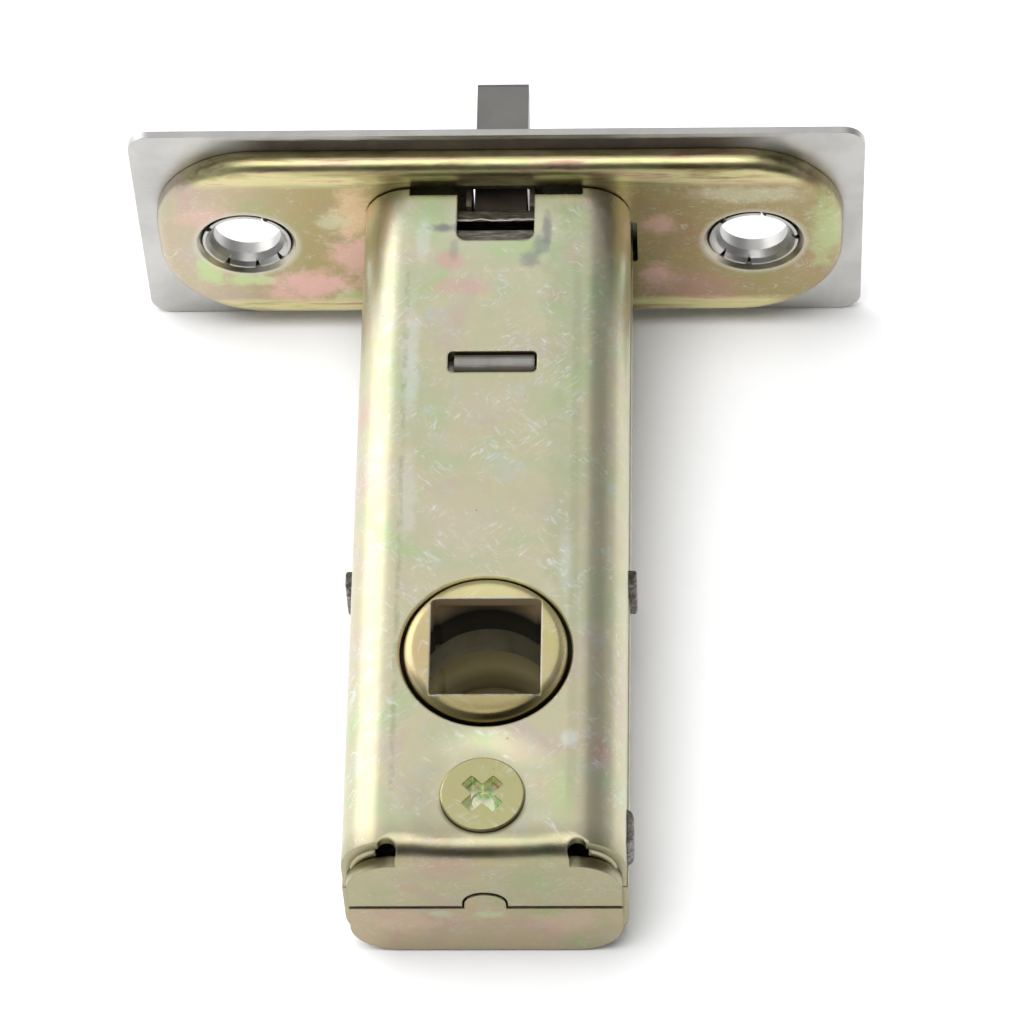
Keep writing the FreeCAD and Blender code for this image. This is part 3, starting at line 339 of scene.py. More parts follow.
def zinc_normal(s, edge):
    """Soft edges, a fine grain and the slow waves of pressed sheet."""
    normal = s.soft_edges(edge)
    normal = s.bump(s.noise(0.10 * MM, 2.0, 0.6), 0.004 * MM, normal)
    return s.bump(s.noise(3.5 * MM, 1.0, 0.4), 0.040 * MM, normal)


def rolled_rim(s, tint):
    """Streaks of brown, green and rose drawn along the plate's roll, and painted light on the hole
    rims.
    """
    streaks = s.noise(1.0 * MM, 4.0, 0.6, 0.4, s.stretched((9.0, 1.0, 1.0)))
    colors = s.ramp(streaks, ROLL_STREAKS)
    _, _, height = s.axes()
    tint = s.mix(s.band(height, *ROLL_HEIGHT, 0.85), tint, colors)
    # Painted light: a pale ring round each hole's rim
    for side in (-1.0, 1.0):
        ring = s.distance((side * HOLE_ASIDE, 0.0, 0.0), (1.0, 0.0, 1.0))
        painted_rim = s.all_of(s.band(ring, 3.3 * MM, 3.6 * MM), s.below(ring, 4.0 * MM, 4.6 * MM, 0.55))
        tint = s.mix(painted_rim, tint, HOLE_RIM_PAINTED_LIGHT)
    return tint


def painted_crease_shade(s, tint, clouds):
    """Painted shade: a ragged dark line along the shell's left crease and a broad soft one along its
    right.
    """
    across = s.along("X", 0.0, 1.0)
    ragged = s.band(s.noise(0.6 * MM, 4.0, 0.7), *NOISE_SPAN, 0.07 * MM, -0.07 * MM)
    off = s.math("ABSOLUTE", s.math("ADD", s.math("ADD", across, ragged), CREASE))
    left = s.all_of(s.below(off, 0.05 * MM, 0.30 * MM, 0.8), s.band(clouds, 0.40, 0.60))
    off = s.math("ABSOLUTE", s.math("SUBTRACT", across, CREASE - 0.25 * MM))
    right = s.below(off, 0.10 * MM, 0.55 * MM, 0.5)
    between_ends = s.below(s.axes(CASE_MIDDLE)[1], *CREASE_ENDS)
    crease = s.all_of(s.math("MAXIMUM", left, right), between_ends)
    return s.mix(s.math("MULTIPLY", crease, 0.50), tint, CREASE_PAINTED_SHADE)


def screw_painted_shadow(s, tint):
    """Painted shadow in the gap under the near half of the screw's head."""
    from_screw = s.distance(SCREW, (1.0, 1.0, 0.0))
    painted_rim = s.all_of(
        s.band(from_screw, 2.95 * MM, 3.10 * MM),
        s.below(from_screw, 3.15 * MM, 3.55 * MM, 0.75),
        s.band(s.along("Y", SCREW.y, SCREW.y - 2.0 * MM), 0.0, 1.0),
        s.band(s.along("Z", 0.0, CASE_TOP), 0.8, 0.9),
    )
    return s.mix(painted_rim, tint, SCREW_PAINTED_SHADOW)


def drawn_down(s, normal):
    """The sheet drawn down round the screw."""
    dish = s.band(s.distance(SCREW), 2.8 * MM, 6.4 * MM)
    return s.bump(dish, 0.35 * MM, normal)


def yellow_zinc(name, seed, painted_light, patches, pinkness=0.0, gold=0.0, scratched=1.0, shell=False):
    """Yellow zinc with painted light and shade along the shell or across the plate, as the given stops
    say.
    """
    s = Shader(name)
    tint, clouds = zinc_tint(s, seed, pinkness, gold)
    way = s.along("Y", 0.0, -CASE_END) if shell else s.along("X", -FACE_HALF, FACE_HALF)
    # Painted light and shade: the plating made lighter or darker along the shell or across the plate
    tint = s.mix(1.0, tint, s.ramp(way, painted_light), "MULTIPLY")
    for color, centre, size, strength in patches:
        spot = s.math("MULTIPLY", s.patch(centre, size), strength)
        tint = s.mix(spot, tint, color)
    if shell:
        scratched = s.band(way, 0.95, 0.99, 0.30 * scratched, scratched)
    tint, marks = zinc_wear(s, tint, seed, scratched)
    if shell:
        normal = drawn_down(s, zinc_normal(s, SHELL_EDGE))
        # Painted shade along the creases and under the screw's head
        tint = screw_painted_shadow(s, painted_crease_shade(s, tint, clouds))
    else:
        normal = zinc_normal(s, PLATE_EDGE)
        # Streaks along the roll and painted light on the hole rims
        tint = rolled_rim(s, tint)
    rough = s.math("ADD", s.band(clouds, *NOISE_SPAN, 0.36, 0.29), s.math("MULTIPLY", marks, 0.12))
    return s.finish(tint, rough, normal)


# Which part of the noise the hub's plating takes
HUB_SEED = 2.5

# Painted light and shade on the dome: lighter on its far side, darker on its near side
HUB_PAINTED_LIGHT = (
    (0.05, (1.28, 1.30, 1.24)),
    (0.25, (1.04, 0.98, 0.94)),
    (0.70, (0.98, 0.92, 0.92)),
    (0.95, (0.62, 0.58, 0.50)),
)

# Painted shade and light inside each cup, from its middle to its top
UPPER_CUP_PAINTED_SHADE = (
    (0.28, (0.055, 0.048, 0.030)),
    (0.54, (0.030, 0.026, 0.016)),
    (0.66, (0.340, 0.280, 0.190)),
    (0.84, (0.660, 0.520, 0.310)),
)
LOWER_CUP_PAINTED_SHADE = (
    (0.05, (0.52, 0.46, 0.24)),
    (0.45, (0.66, 0.58, 0.30)),
    (0.75, (0.34, 0.29, 0.15)),
)

# Half widths, radii and heights in a cup between which one finish gives way to the next
SOCKET_WALL = (4.16 * MM, 4.20 * MM)
SOCKET_BURR = (4.22 * MM, 4.30 * MM)
SOCKET_TOP = (8.02 * MM, 8.14 * MM)
SOCKET_BURR_FOOT = (8.00 * MM, 8.10 * MM)
BORE_WALL = (5.54 * MM, 5.60 * MM)
BORE_TOP = (7.22 * MM, 7.30 * MM)
GAP_RADIUS = (6.10 * MM, 6.18 * MM)
GAP_TOP = (6.95 * MM, 7.20 * MM)
DOME_RADIUS = 6.2 * MM
DOME_ROLL = (4.9 * MM, 5.6 * MM)
DOME_TOP = 8.2 * MM


def hub_cup(name, cup_painted_shade):
    """Golden zinc with painted shade inside the cup and in the gap round it, painted light and shade
    across the dome, bare along the socket's edge.
    """
    s = Shader(name)
    tint, clouds = zinc_tint(s, HUB_SEED, 0.02, 0.45)
    tint = s.mix(1.0, tint, (0.98, 0.96, 0.80), "MULTIPLY")
    tint, _ = zinc_wear(s, tint, HUB_SEED, 0.8)
    x, y, z = s.axes(HUB)
    bared = s.band(s.noise(0.8 * MM, 3.0, 0.6, 0.5), 0.35, 0.60, 0.9)
    radius = s.math("SQRT", s.math("ADD", s.math("MULTIPLY", x, x), s.math("MULTIPLY", y, y)))
    square = s.math("MAXIMUM", x, y)
    in_socket = s.all_of(s.below(square, *SOCKET_WALL), s.below(z, *SOCKET_TOP))
    in_bore = s.all_of(s.below(radius, *BORE_WALL), s.below(z, *BORE_TOP))
    inside = s.math("MAXIMUM", in_socket, in_bore)
    in_gap = s.all_of(s.band(radius, *GAP_RADIUS), s.below(z, *GAP_TOP))
    # Painted shade and light inside the cup, by height
    depth_painted_shade = s.ramp(s.band(z, 0.0, DOME_TOP), cup_painted_shade)
    way = s.along("Y", HUB.y + DOME_RADIUS, HUB.y - DOME_RADIUS)
    # Painted light and shade across the dome
    tint = s.mix(1.0, tint, s.ramp(way, HUB_PAINTED_LIGHT), "MULTIPLY")
    # Painted shade on the near foot of the dome
    dome_foot_shade = s.all_of(s.band(radius, *DOME_ROLL), s.band(way, 0.70, 1.0))
    tint = s.mix(s.math("MULTIPLY", dome_foot_shade, 0.85), tint, DOME_PAINTED_SHADE)
    tint = s.mix(inside, tint, depth_painted_shade)
    # Painted shade: near black in the gap round the dome
    tint = s.mix(in_gap, tint, GAP_PAINTED_SHADE)
    edge_line = s.all_of(s.below(square, *SOCKET_BURR), s.band(z, *SOCKET_BURR_FOOT))
    tint = s.mix(s.math("MULTIPLY", edge_line, bared), tint, BARED)
    rough = s.math("ADD", s.band(clouds, *NOISE_SPAN, 0.34, 0.27), s.math("MULTIPLY", inside, 0.5))
    metal = s.math("SUBTRACT", 1.0, s.math("MULTIPLY", inside, 0.8))
    return s.finish(tint, rough, zinc_normal(s, SHELL_EDGE), metal)


# The screw's part of the noise, and the spots in its recess: its greener plating with painted light on
# it
SCREW_SEED = 9.0
RECESS_TINT_AND_PAINTED_LIGHT = (
    (0.40, (0.50, 0.82, 0.36)),
    (0.55, (0.84, 0.86, 0.60)),
    (0.68, (0.90, 0.62, 0.56)),
)


def screw_zinc(name):
    """Golden screw head whose recess keeps a greener, glossier plating, with painted light in it."""
    s = Shader(name)
    tint, clouds = zinc_tint(s, SCREW_SEED, 0.0, 0.45)
    tint = s.mix(1.0, tint, (0.80, 0.82, 0.66), "MULTIPLY")
    tint, _ = zinc_wear(s, tint, SCREW_SEED, 0.6)
    _, _, z = s.axes()
    sunk = s.below(z, 7.50 * MM, 7.70 * MM)
    recess_tint_and_light = s.ramp(s.noise(0.7 * MM, 3.0, 0.6, 0.6), RECESS_TINT_AND_PAINTED_LIGHT)
    near_axis = s.below(s.distance(SCREW), 1.75 * MM, 1.95 * MM)
    # Greener plating and painted light in the recess
    tint = s.mix(s.all_of(sunk, near_axis), tint, recess_tint_and_light)
    rough = s.band(clouds, *NOISE_SPAN, 0.34, 0.28)
    return s.finish(tint, rough, zinc_normal(s, SCREW_EDGE))


# The strip of browned film and painted shade on the stainless sheet: its ends across, its foot and its
# top
STRIP_ENDS = (17.0 * MM, 23.5 * MM)
STRIP_FOOT = (9.4 * MM, 9.8 * MM)
STRIP_TOP = (11.5 * MM, 11.8 * MM)


def strip_film_and_painted_shade(s):
    """Browned film with painted shade on the back of the stainless sheet, above the plate's roll."""
    x, _, _ = s.axes()
    height = s.along("Z", 0.0, 1.0)
    ragged = s.math("ADD", height, s.band(s.grain, *NOISE_SPAN, 0.2 * MM))
    return s.all_of(
        s.below(x, *STRIP_ENDS),
        s.band(s.along("Y", 0.0, -1.0 * MM), 0.45, 0.55),
        s.band(height, *STRIP_FOOT),
        s.below(ragged, *STRIP_TOP, 0.92),
    )


def greased_end(s):
    """Where the tongue is greased, behind the faceplate."""
    return s.band(s.along("Y", 0.0, -0.8 * MM), 0.0, 1.0, 0.9)


def tab_edge_painted_shade(s):
    """Painted shade along the tab's two long edges."""
    off = s.math("ABSOLUTE", s.along("Y", TAB_MIDDLE, TAB_MIDDLE + 1.0))
    ragged = s.math("ADD", off, s.band(s.grain, *NOISE_SPAN, 0.15 * MM))
    return s.band(ragged, 0.25 * MM, 0.62 * MM, 0.8)


# The dark film on steel, which stands for browning and grease and also for painted shade
DARK_FILM_AND_SHADE = (0.040, 0.026, 0.014)
PALE_FILM_AND_SHADE = (0.110, 0.080, 0.045)


def satin_steel(name, color, roughness, brushed_along="X", stain=0.25, edge=0.08 * MM, film_and_shade=None):
    """Rolled steel sheet with a fine grain one way and faint stains, and a dark part from the caller's
    mask: grease on the tongue, browned film with painted shade on the stainless strip, painted shade
    along the tab's edges.
    """
    s = Shader(name)
    stretch = {"X": (25.0, 1.0, 1.0), "Y": (1.0, 25.0, 1.0)}[brushed_along]
    s.grain = s.noise(0.12 * MM, 4.0, 0.6, 0.0, s.stretched(stretch))
    clouds = s.noise(6.0 * MM, 4.0, 0.6, 0.5)
    dark = tuple(c * (1.0 - stain) for c in color)
    tint = s.mix(s.band(clouds, 0.35, 0.7), dark, color)
    light = tuple(min(1.0, c * 1.25) for c in color)
    tint = s.mix(s.band(s.grain, 0.55, 0.8, 0.35), tint, light)
    metal = 1.0
    if film_and_shade:
        # The dark part: a real film in some uses, painted shade in others
        film_and_shade_mask = film_and_shade(s)
        film = s.mix(s.band(clouds, *NOISE_SPAN), DARK_FILM_AND_SHADE, PALE_FILM_AND_SHADE)
        tint = s.mix(film_and_shade_mask, tint, film)
        metal = s.math("SUBTRACT", 1.0, s.math("MULTIPLY", film_and_shade_mask, 0.75))
        roughness = s.math("ADD", s.math("MULTIPLY", film_and_shade_mask, 0.35), roughness)
    rough = s.math("ADD", s.band(s.noise(2.2 * MM, 2.0), *NOISE_SPAN, 0.06, -0.04), roughness)
    normal = s.bump(s.grain, 0.006 * MM, s.soft_edges(edge))
    normal = s.bump(s.noise(2.5 * MM, 1.0), 0.02 * MM, normal)
    return s.finish(tint, rough, normal, metal)


# How the grain darkens and lightens the sheared and the staked steel
SHEARED_SHADES = (
    (0.32, (0.10, 0.09, 0.075)),
    (0.55, (0.24, 0.22, 0.19)),
    (0.70, (0.42, 0.40, 0.37)),
)
STAKED_SHADES = (
    (0.3, (0.05, 0.045, 0.04)),
    (0.5, (0.20, 0.18, 0.16)),
    (0.7, (0.50, 0.48, 0.45)),
)


def sheared_steel(name):
    """Dark grainy steel with a painted highlight: a bright wavy line along its sheared edge at one
    depth.
    """
    s = Shader(name)
    grain = s.noise(0.25 * MM, 4.0, 0.65, 0.3, s.stretched((6.0, 1.0, 1.0)))
    tint = s.ramp(grain, SHEARED_SHADES)
    wander = s.band(s.noise(1.6 * MM, 2.0), *NOISE_SPAN, 0.10 * MM, -0.10 * MM)
    off = s.math("ABSOLUTE", s.math("ADD", s.along("Y", CARRIER_GLINT, CARRIER_GLINT + 1.0), wander))
    _, _, height = s.axes()
    # Painted highlight along the sheared edge
    edge_line = s.all_of(s.below(off, 0.05 * MM, 0.10 * MM), s.band(height, 5.2 * MM, 5.4 * MM))
    tint = s.mix(edge_line, tint, (0.96, 0.90, 0.88))
    return s.finish(tint, 0.38, s.bump(grain, 0.02 * MM, s.soft_edges(0.08 * MM)))


def greased_steel(name):
    """Plated sheet under a film of old brown grease beside the tongue."""
    s = Shader(name)
    film = s.noise(0.9 * MM, 4.0, 0.6, 0.6)
    tint = s.mix(s.band(film, 0.35, 0.65), (0.20, 0.15, 0.10), (0.36, 0.30, 0.22))
    x, _, _ = s.axes()
    clean = s.band(x, 3.4 * MM, 4.0 * MM)
    tint = s.mix(clean, tint, (0.62, 0.58, 0.36))
    metal = s.band(clean, 0.0, 1.0, 0.7, 0.25)
    return s.finish(tint, 0.5, s.bump(film, 0.03 * MM, s.soft_edges(0.08 * MM)), metal)


def rough_stake(name):
    """Sheared and hammered steel: coarse pits, dark in the hollows."""
    s = Shader(name)
    lumps = s.noise(0.5 * MM, 5.0, 0.7, 1.0)
    tint = s.ramp(lumps, STAKED_SHADES)
    normal = s.bump(lumps, 0.25 * MM, s.soft_edges(0.15 * MM))
    return s.finish(tint, s.band(lumps, *NOISE_SPAN, 0.3, 0.5), normal)


def dress(name, material):
    """Gives a carried-over node its finish in place of the plain one."""
    mesh = nodes[name].data
    mesh.materials.clear()
    mesh.materials.append(material)


# Stains: the colour, the middle, the size and the strength of each
CASE_PATCHES = (
    (PINK, (-3.6 * MM, -9.4 * MM, CASE_TOP), (1.6 * MM, 1.2 * MM, 3.0 * MM), 0.65),
    (PINK, (-2.6 * MM, -11.9 * MM, CASE_TOP), (3.0 * MM, 0.9 * MM, 3.0 * MM), 0.55),
    (PINK, (6.2 * MM, -8.6 * MM, CASE_TOP), (0.9 * MM, 1.4 * MM, 3.0 * MM), 0.6),
    (PINK, (5.0 * MM, -12.8 * MM, CASE_TOP), (1.0 * MM, 0.7 * MM, 3.0 * MM), 0.5),
    (BEIGE, (-3.0 * MM, -26.6 * MM, CASE_TOP), (2.2 * MM, 1.2 * MM, 3.0 * MM), 0.5),
    (BEIGE, (-2.0 * MM, -33.8 * MM, CASE_TOP), (5.0 * MM, 3.0 * MM, 3.0 * MM), 0.6),
    (BEIGE, (0.5 * MM, -22.5 * MM, CASE_TOP), (4.5 * MM, 2.0 * MM, 3.0 * MM), 0.4),
    (PALE, (-6.3 * MM, -19.0 * MM, CASE_TOP), (0.8 * MM, 6.0 * MM, 3.0 * MM), 0.28),
    (PALE, (-6.2 * MM, -31.0 * MM, CASE_TOP), (0.8 * MM, 5.0 * MM, 3.0 * MM), 0.20),
    (PALE, (5.9 * MM, -37.0 * MM, CASE_TOP), (0.7 * MM, 3.0 * MM, 3.0 * MM), 0.35),
    (PALE, (6.4 * MM, -52.5 * MM, CASE_TOP), (0.7 * MM, 1.0 * MM, 3.0 * MM), 0.40),
    (GREEN, (-5.2 * MM, -5.6 * MM, CASE_TOP), (1.8 * MM, 2.2 * MM, 3.0 * MM), 0.65),
    (GREEN, (6.2 * MM, -5.4 * MM, CASE_TOP), (1.6 * MM, 2.0 * MM, 3.0 * MM), 0.65),
    (MOSS, (6.0 * MM, -12.0 * MM, CASE_TOP), (2.4 * MM, 12.0 * MM, 3.0 * MM), 0.55),
    (MOSS, (5.8 * MM, -32.0 * MM, CASE_TOP), (1.8 * MM, 12.0 * MM, 3.0 * MM), 0.45),
    (GREEN, (5.8 * MM, -57.0 * MM, CASE_TOP), (1.2 * MM, 3.0 * MM, 3.0 * MM), 0.6),
    (PINK, (8.6 * MM, -53.5 * MM, 7.0 * MM), (1.0 * MM, 1.8 * MM, 3.0 * MM), 0.5),
    (ORANGE, (-8.6 * MM, -5.5 * MM, 6.6 * MM), (0.8 * MM, 3.4 * MM, 3.0 * MM), 0.6),
    (PALE, (-5.6 * MM, -7.4 * MM, CASE_TOP), (0.7 * MM, 3.0 * MM, 3.0 * MM), 0.25),
    (GREY_SMEAR, (-4.1 * MM, -6.3 * MM, CASE_TOP), (1.3 * MM, 0.55 * MM, 3.0 * MM), 0.85),
    (GREY_SMEAR, (-3.2 * MM, -8.2 * MM, CASE_TOP), (0.5 * MM, 1.2 * MM, 3.0 * MM), 0.35),
    (GREY_SMEAR, (4.1 * MM, -6.6 * MM, CASE_TOP), (0.45 * MM, 1.9 * MM, 3.0 * MM), 0.7),
    (GREY_SMEAR, (3.5 * MM, -8.0 * MM, CASE_TOP), (0.8 * MM, 1.1 * MM, 3.0 * MM), 0.6),
    (GREY_SMEAR, (2.8 * MM, -9.2 * MM, CASE_TOP), (1.0 * MM, 1.1 * MM, 3.0 * MM), 0.6),
)

# Painted light and shade multiplied into the plating: along a shell from its lighter front to its
# darker rear flap, and across the plate
UPPER_PAINTED_LIGHT = (
    (0.03, (1.12, 1.16, 1.24)),
    (0.16, (0.98, 1.00, 1.00)),
    (0.30, (0.92, 0.94, 0.92)),
    (0.60, (0.95, 0.95, 0.95)),
    (0.95, (0.95, 0.94, 0.94)),
    (0.99, (0.58, 0.56, 0.50)),
)
LOWER_PATCHES = (
    (MOSS, (-3.4 * MM, -62.4 * MM, -1.7 * MM), (1.0 * MM, 3.0 * MM, 0.6 * MM), 0.6),
    (MOSS, (0.3 * MM, -62.4 * MM, -1.7 * MM), (1.2 * MM, 3.0 * MM, 0.7 * MM), 0.7),
    (PINK, (-6.0 * MM, -62.4 * MM, -3.0 * MM), (3.0 * MM, 3.0 * MM, 2.0 * MM), 0.2),
    (PINK, (6.0 * MM, -62.4 * MM, -3.0 * MM), (3.0 * MM, 3.0 * MM, 2.0 * MM), 0.2),
)
LOWER_PAINTED_LIGHT = ((0.95, (0.90, 0.88, 0.86)), (0.99, (0.61, 0.54, 0.50)))
PLATE_PAINTED_LIGHT = (
    (0.08, (0.80, 0.73, 0.82)),
    (0.24, (0.58, 0.52, 0.38)),
    (0.60, (0.62, 0.56, 0.42)),
    (0.76, (0.51, 0.43, 0.30)),
    (1.00, (0.60, 0.52, 0.42)),
)
PLATE_PATCHES = (
    (ORANGE, (-11.4 * MM, -2.4 * MM, 4.0 * MM), (2.0 * MM, 3.0 * MM, 5.0 * MM), 0.8),
    (PINK, (-11.8 * MM, -2.4 * MM, -1.6 * MM), (2.4 * MM, 3.0 * MM, 3.6 * MM), 0.7),
    (PINK, (-15.5 * MM, -2.4 * MM, -5.8 * MM), (4.4 * MM, 3.0 * MM, 2.6 * MM), 0.85),
    (PINK, (-23.4 * MM, -2.4 * MM, 3.6 * MM), (2.6 * MM, 3.0 * MM, 1.6 * MM), 0.5),
    (PINK, (12.8 * MM, -2.4 * MM, 2.4 * MM), (1.6 * MM, 3.0 * MM, 1.8 * MM), 0.6),
    (PINK, (12.6 * MM, -2.4 * MM, -4.6 * MM), (1.8 * MM, 3.0 * MM, 2.0 * MM), 0.7),
    (DUSK, (15.6 * MM, -2.4 * MM, -6.4 * MM), (4.6 * MM, 3.0 * MM, 2.6 * MM), 0.6),
    (GREEN, (26.0 * MM, -2.4 * MM, 1.0 * MM), (1.6 * MM, 3.0 * MM, 5.0 * MM), 0.6),
    (OLIVE, (20.0 * MM, -2.4 * MM, 6.4 * MM), (6.0 * MM, 3.0 * MM, 1.4 * MM), 0.5),
    (GREEN, (-12.4 * MM, -2.4 * MM, -8.0 * MM), (2.4 * MM, 3.0 * MM, 2.0 * MM), 0.6),
    (GREEN, (-23.4 * MM, -2.2 * MM, -3.4 * MM), (1.5 * MM, 3.0 * MM, 2.6 * MM), 0.85),
    (GREEN, (-20.6 * MM, -2.2 * MM, -4.9 * MM), (2.6 * MM, 3.0 * MM, 1.0 * MM), 0.8),
    (GOLD, (-22.9 * MM, -2.0 * MM, -2.9 * MM), (0.8 * MM, 3.0 * MM, 0.8 * MM), 1.0),
    (OLIVE, (-13.2 * MM, -2.4 * MM, 3.0 * MM), (1.6 * MM, 3.0 * MM, 1.6 * MM), 0.6),
)


def dress_nodes():
    """Makes each finish and gives every node the one that suits it."""
    upper = yellow_zinc("zinc_upper_shell", 1.0, UPPER_PAINTED_LIGHT, CASE_PATCHES, shell=True)
    lower = yellow_zinc(
        "zinc_lower_shell", 4.0, LOWER_PAINTED_LIGHT, LOWER_PATCHES, pinkness=0.03, scratched=0.8, shell=True
    )
    plate = yellow_zinc(
        "zinc_inner_plate", 7.0, PLATE_PAINTED_LIGHT, PLATE_PATCHES, pinkness=0.05, gold=0.25, scratched=0.5
    )
    upper_bush = hub_cup("zinc_upper_cup", UPPER_CUP_PAINTED_SHADE)
    lower_bush = hub_cup("zinc_lower_cup", LOWER_CUP_PAINTED_SHADE)
    screw = screw_zinc("zinc_screw")
    stainless = satin_steel(
        "stainless_sheet", (0.58, 0.57, 0.55), 0.36, stain=0.16, film_and_shade=strip_film_and_painted_shade
    )
    tongue = satin_steel(
        "tongue_steel", (0.25, 0.24, 0.225), 0.42, brushed_along="Y", stain=0.1, film_and_shade=greased_end
    )
    plain = satin_steel("plain_steel", (0.42, 0.41, 0.39), 0.33)
    tab = satin_steel("tab_steel", (0.38, 0.37, 0.34), 0.26, edge=0.40 * MM, film_and_shade=tab_edge_painted_shade)
    inner = satin_steel("inner_steel", (0.24, 0.22, 0.19), 0.36)
    greased = greased_steel("greased_steel")
    sheared = sheared_steel("sheared_steel")
    staked = rough_stake("staked_steel")
    sooty = satin_steel("sooty_steel", (0.30, 0.28, 0.19), 0.60)
    finishes = {
        "outer_faceplate": stainless,
        "inner_faceplate": plate,
        "front_case": upper,
        "rear_case": lower,
        "latch_tongue": tongue,
        "bolt_guide": greased,
        "bolt_carrier": sheared,
        "carrier_pin": plain,
        "tail_rod": plain,
        "tail_head": plain,
        "guide_plate": tab,
        "stop_plate": staked,
        "screw_pillar": staked,
        "yoke_frame": inner,
        "spring_washer": plain,
        "hub_upper_bush": upper_bush,
        "hub_lower_bush": lower_bush,
        "hub_cam": sooty,
        "case_screw": screw,
        "bolt_spring": plain,
        "return_spring": plain,
    }
    for name, material in finishes.items():
        dress(name, material)


# Pieces made here

# How many points a spring has along each turn and round its wire, and how its end turns close
WIRE_STEPS = 28
WIRE_SIDES = 8
END_CLOSING = 0.10

# The rear corner of the wall and of the flap, seen from behind: centre and radius of each arc
CORNER_CENTRE = (6.7 * MM, 3.75 * MM)
CORNER_RADIUS = 3.05 * MM
FLAP_CENTRE = (6.6 * MM, 2.0 * MM)
FLAP_RADIUS = 3.2 * MM

# The web between those arcs
WEB_ANGLE = math.radians(68.0)
WEB_STEPS = 12
WEB_ROWS = 5
WEB_REAR = 61.05 * MM
WEB_BULGE = 0.28 * MM
WEB_BULGE_SHARE = 0.8
WEB_THICKNESS = 0.25 * MM


def add_piece(name, points, faces, material):
    """A smooth mesh piece that rides on the case."""
    mesh = bpy.data.meshes.new(name)
    mesh.from_pydata(points, [], faces)
    mesh.polygons.foreach_set("use_smooth", [True] * len(mesh.polygons))
    mesh.materials.append(material)
    piece = bpy.data.objects.new(name, mesh)
    bpy.context.scene.collection.objects.link(piece)
    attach(piece, "case")
    return piece


def add_spring(name, node, fixed, free, coil, wire, turns, material):
    """Round wire wound from its fixed end to its free end, with closed end turns."""
    steps = turns * WIRE_STEPS
    points = []
    for step in range(steps + 1):
        share = step / steps
        angle = 2 * math.pi * turns * share
        eased = share - END_CLOSING * math.sin(2 * math.pi * share)
        outward = Vector((math.cos(angle), 0.0, math.sin(angle)))
        middle = outward * coil
        middle.y = fixed + wire + (free - fixed - 2 * wire) * eased
        for side in range(WIRE_SIDES):
            turn = 2 * math.pi * side / WIRE_SIDES
            ring = outward * math.cos(turn) + Vector((0.0, math.sin(turn), 0.0))
            points.append(middle + ring * wire)
    faces = []
    for step in range(steps):
        low = step * WIRE_SIDES
        high = low + WIRE_SIDES
        for side in range(WIRE_SIDES):
            after = (side + 1) % WIRE_SIDES
            faces.append((low + side, low + after, high + after, high + side))
    last = steps * WIRE_SIDES
    faces.append(tuple(range(WIRE_SIDES)))
    faces.append(tuple(reversed(range(last, last + WIRE_SIDES))))
    spring = add_piece(name, points, faces, material)
    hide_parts(node)
    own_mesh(spring)


def add_corner_webs(material):
    """The shell's metal drawn in at its two rear corners, between the wall and the flap."""
    points = []
    faces = []
    for side in (-1, 1):
        first = len(points)
        for step in range(WEB_STEPS + 1):
            angle = WEB_ANGLE * step / WEB_STEPS
            outward = Vector((math.cos(angle), math.sin(angle)))
            wall = Vector(CORNER_CENTRE) + outward * CORNER_RADIUS
            flap = Vector(FLAP_CENTRE) + outward * FLAP_RADIUS
            for row in range(WEB_ROWS + 1):
                share = row / WEB_ROWS
                spot = wall.lerp(flap, share)
                bulge = WEB_BULGE * math.sin(math.pi * min(share / WEB_BULGE_SHARE, 1.0))
                points.append((side * spot.x, -WEB_REAR - bulge, spot.y))
        for step in range(WEB_STEPS):
            for row in range(WEB_ROWS):
                low = first + step * (WEB_ROWS + 1) + row
                high = low + WEB_ROWS + 1
                face = (low, low + 1, high + 1, high)
                faces.append(face if side > 0 else face[::-1])
    webs = add_piece("front_case_corner_webs", points, faces, material)
    thick = webs.modifiers.new("thick", "SOLIDIFY")
    thick.thickness = WEB_THICKNESS
    thick.offset = 0.0


def add_pieces():
    """The two springs and the webs in the front shell's corners."""
    steel = bpy.data.materials["plain_steel"]
    add_spring(
        "bolt_coil_spring",
        "bolt_spring",
        fixed=-18.05 * MM,
        free=-6.15 * MM,
        coil=2.5 * MM,
        wire=0.25 * MM,
        turns=6,
        material=steel,
    )
    add_spring(
        "return_coil_spring",
        "return_spring",
        fixed=-34.6 * MM,
        free=-21.85 * MM,
        coil=3.2 * MM,
        wire=0.35 * MM,
        turns=5,
        material=steel,
    )
    add_corner_webs(bpy.data.materials["zinc_upper_shell"])


# Stage

FLOOR_NAME = "table_top"
FLOOR_SIZE = 3.0
FLOOR_GAP = 0.02 * MM
REAR_REST = 1.08 * MM
TABLE_LIGHT = "table_light"
LIGHT_AIM = Vector((0.0, -0.03, 0.0))

# Each panel: toward where it stands, how far off, its size in metres and its brightness
PANELS = (
    ("left_panel", (-0.66, 0.50, 0.32), 0.90, (0.70, 0.76), 1.95),
    ("right_panel", (0.80, 0.54, 0.14), 1.00, (0.40, 0.34), 0.32),
    ("top_panel", (-0.06, 0.54, 0.84), 0.90, (0.80, 0.60), 0.55),
    ("high_panel", (-0.05, -0.14, 0.98), 1.20, (0.80, 0.80), 2.1),
    (TABLE_LIGHT, (-0.20, -0.10, 0.97), 1.20, (0.80, 0.80), 5.2),
)

# Each dark part of the room: toward its middle, where it starts and is full, and how deep it is
DARK_CORNERS = (
    ((0.28, -0.82, 0.50), 0.66, 0.97, 0.94),
    ((0.9, -0.3, 0.4), 0.50, 0.95, 0.36),
)
ROOM_LEVEL = 0.40


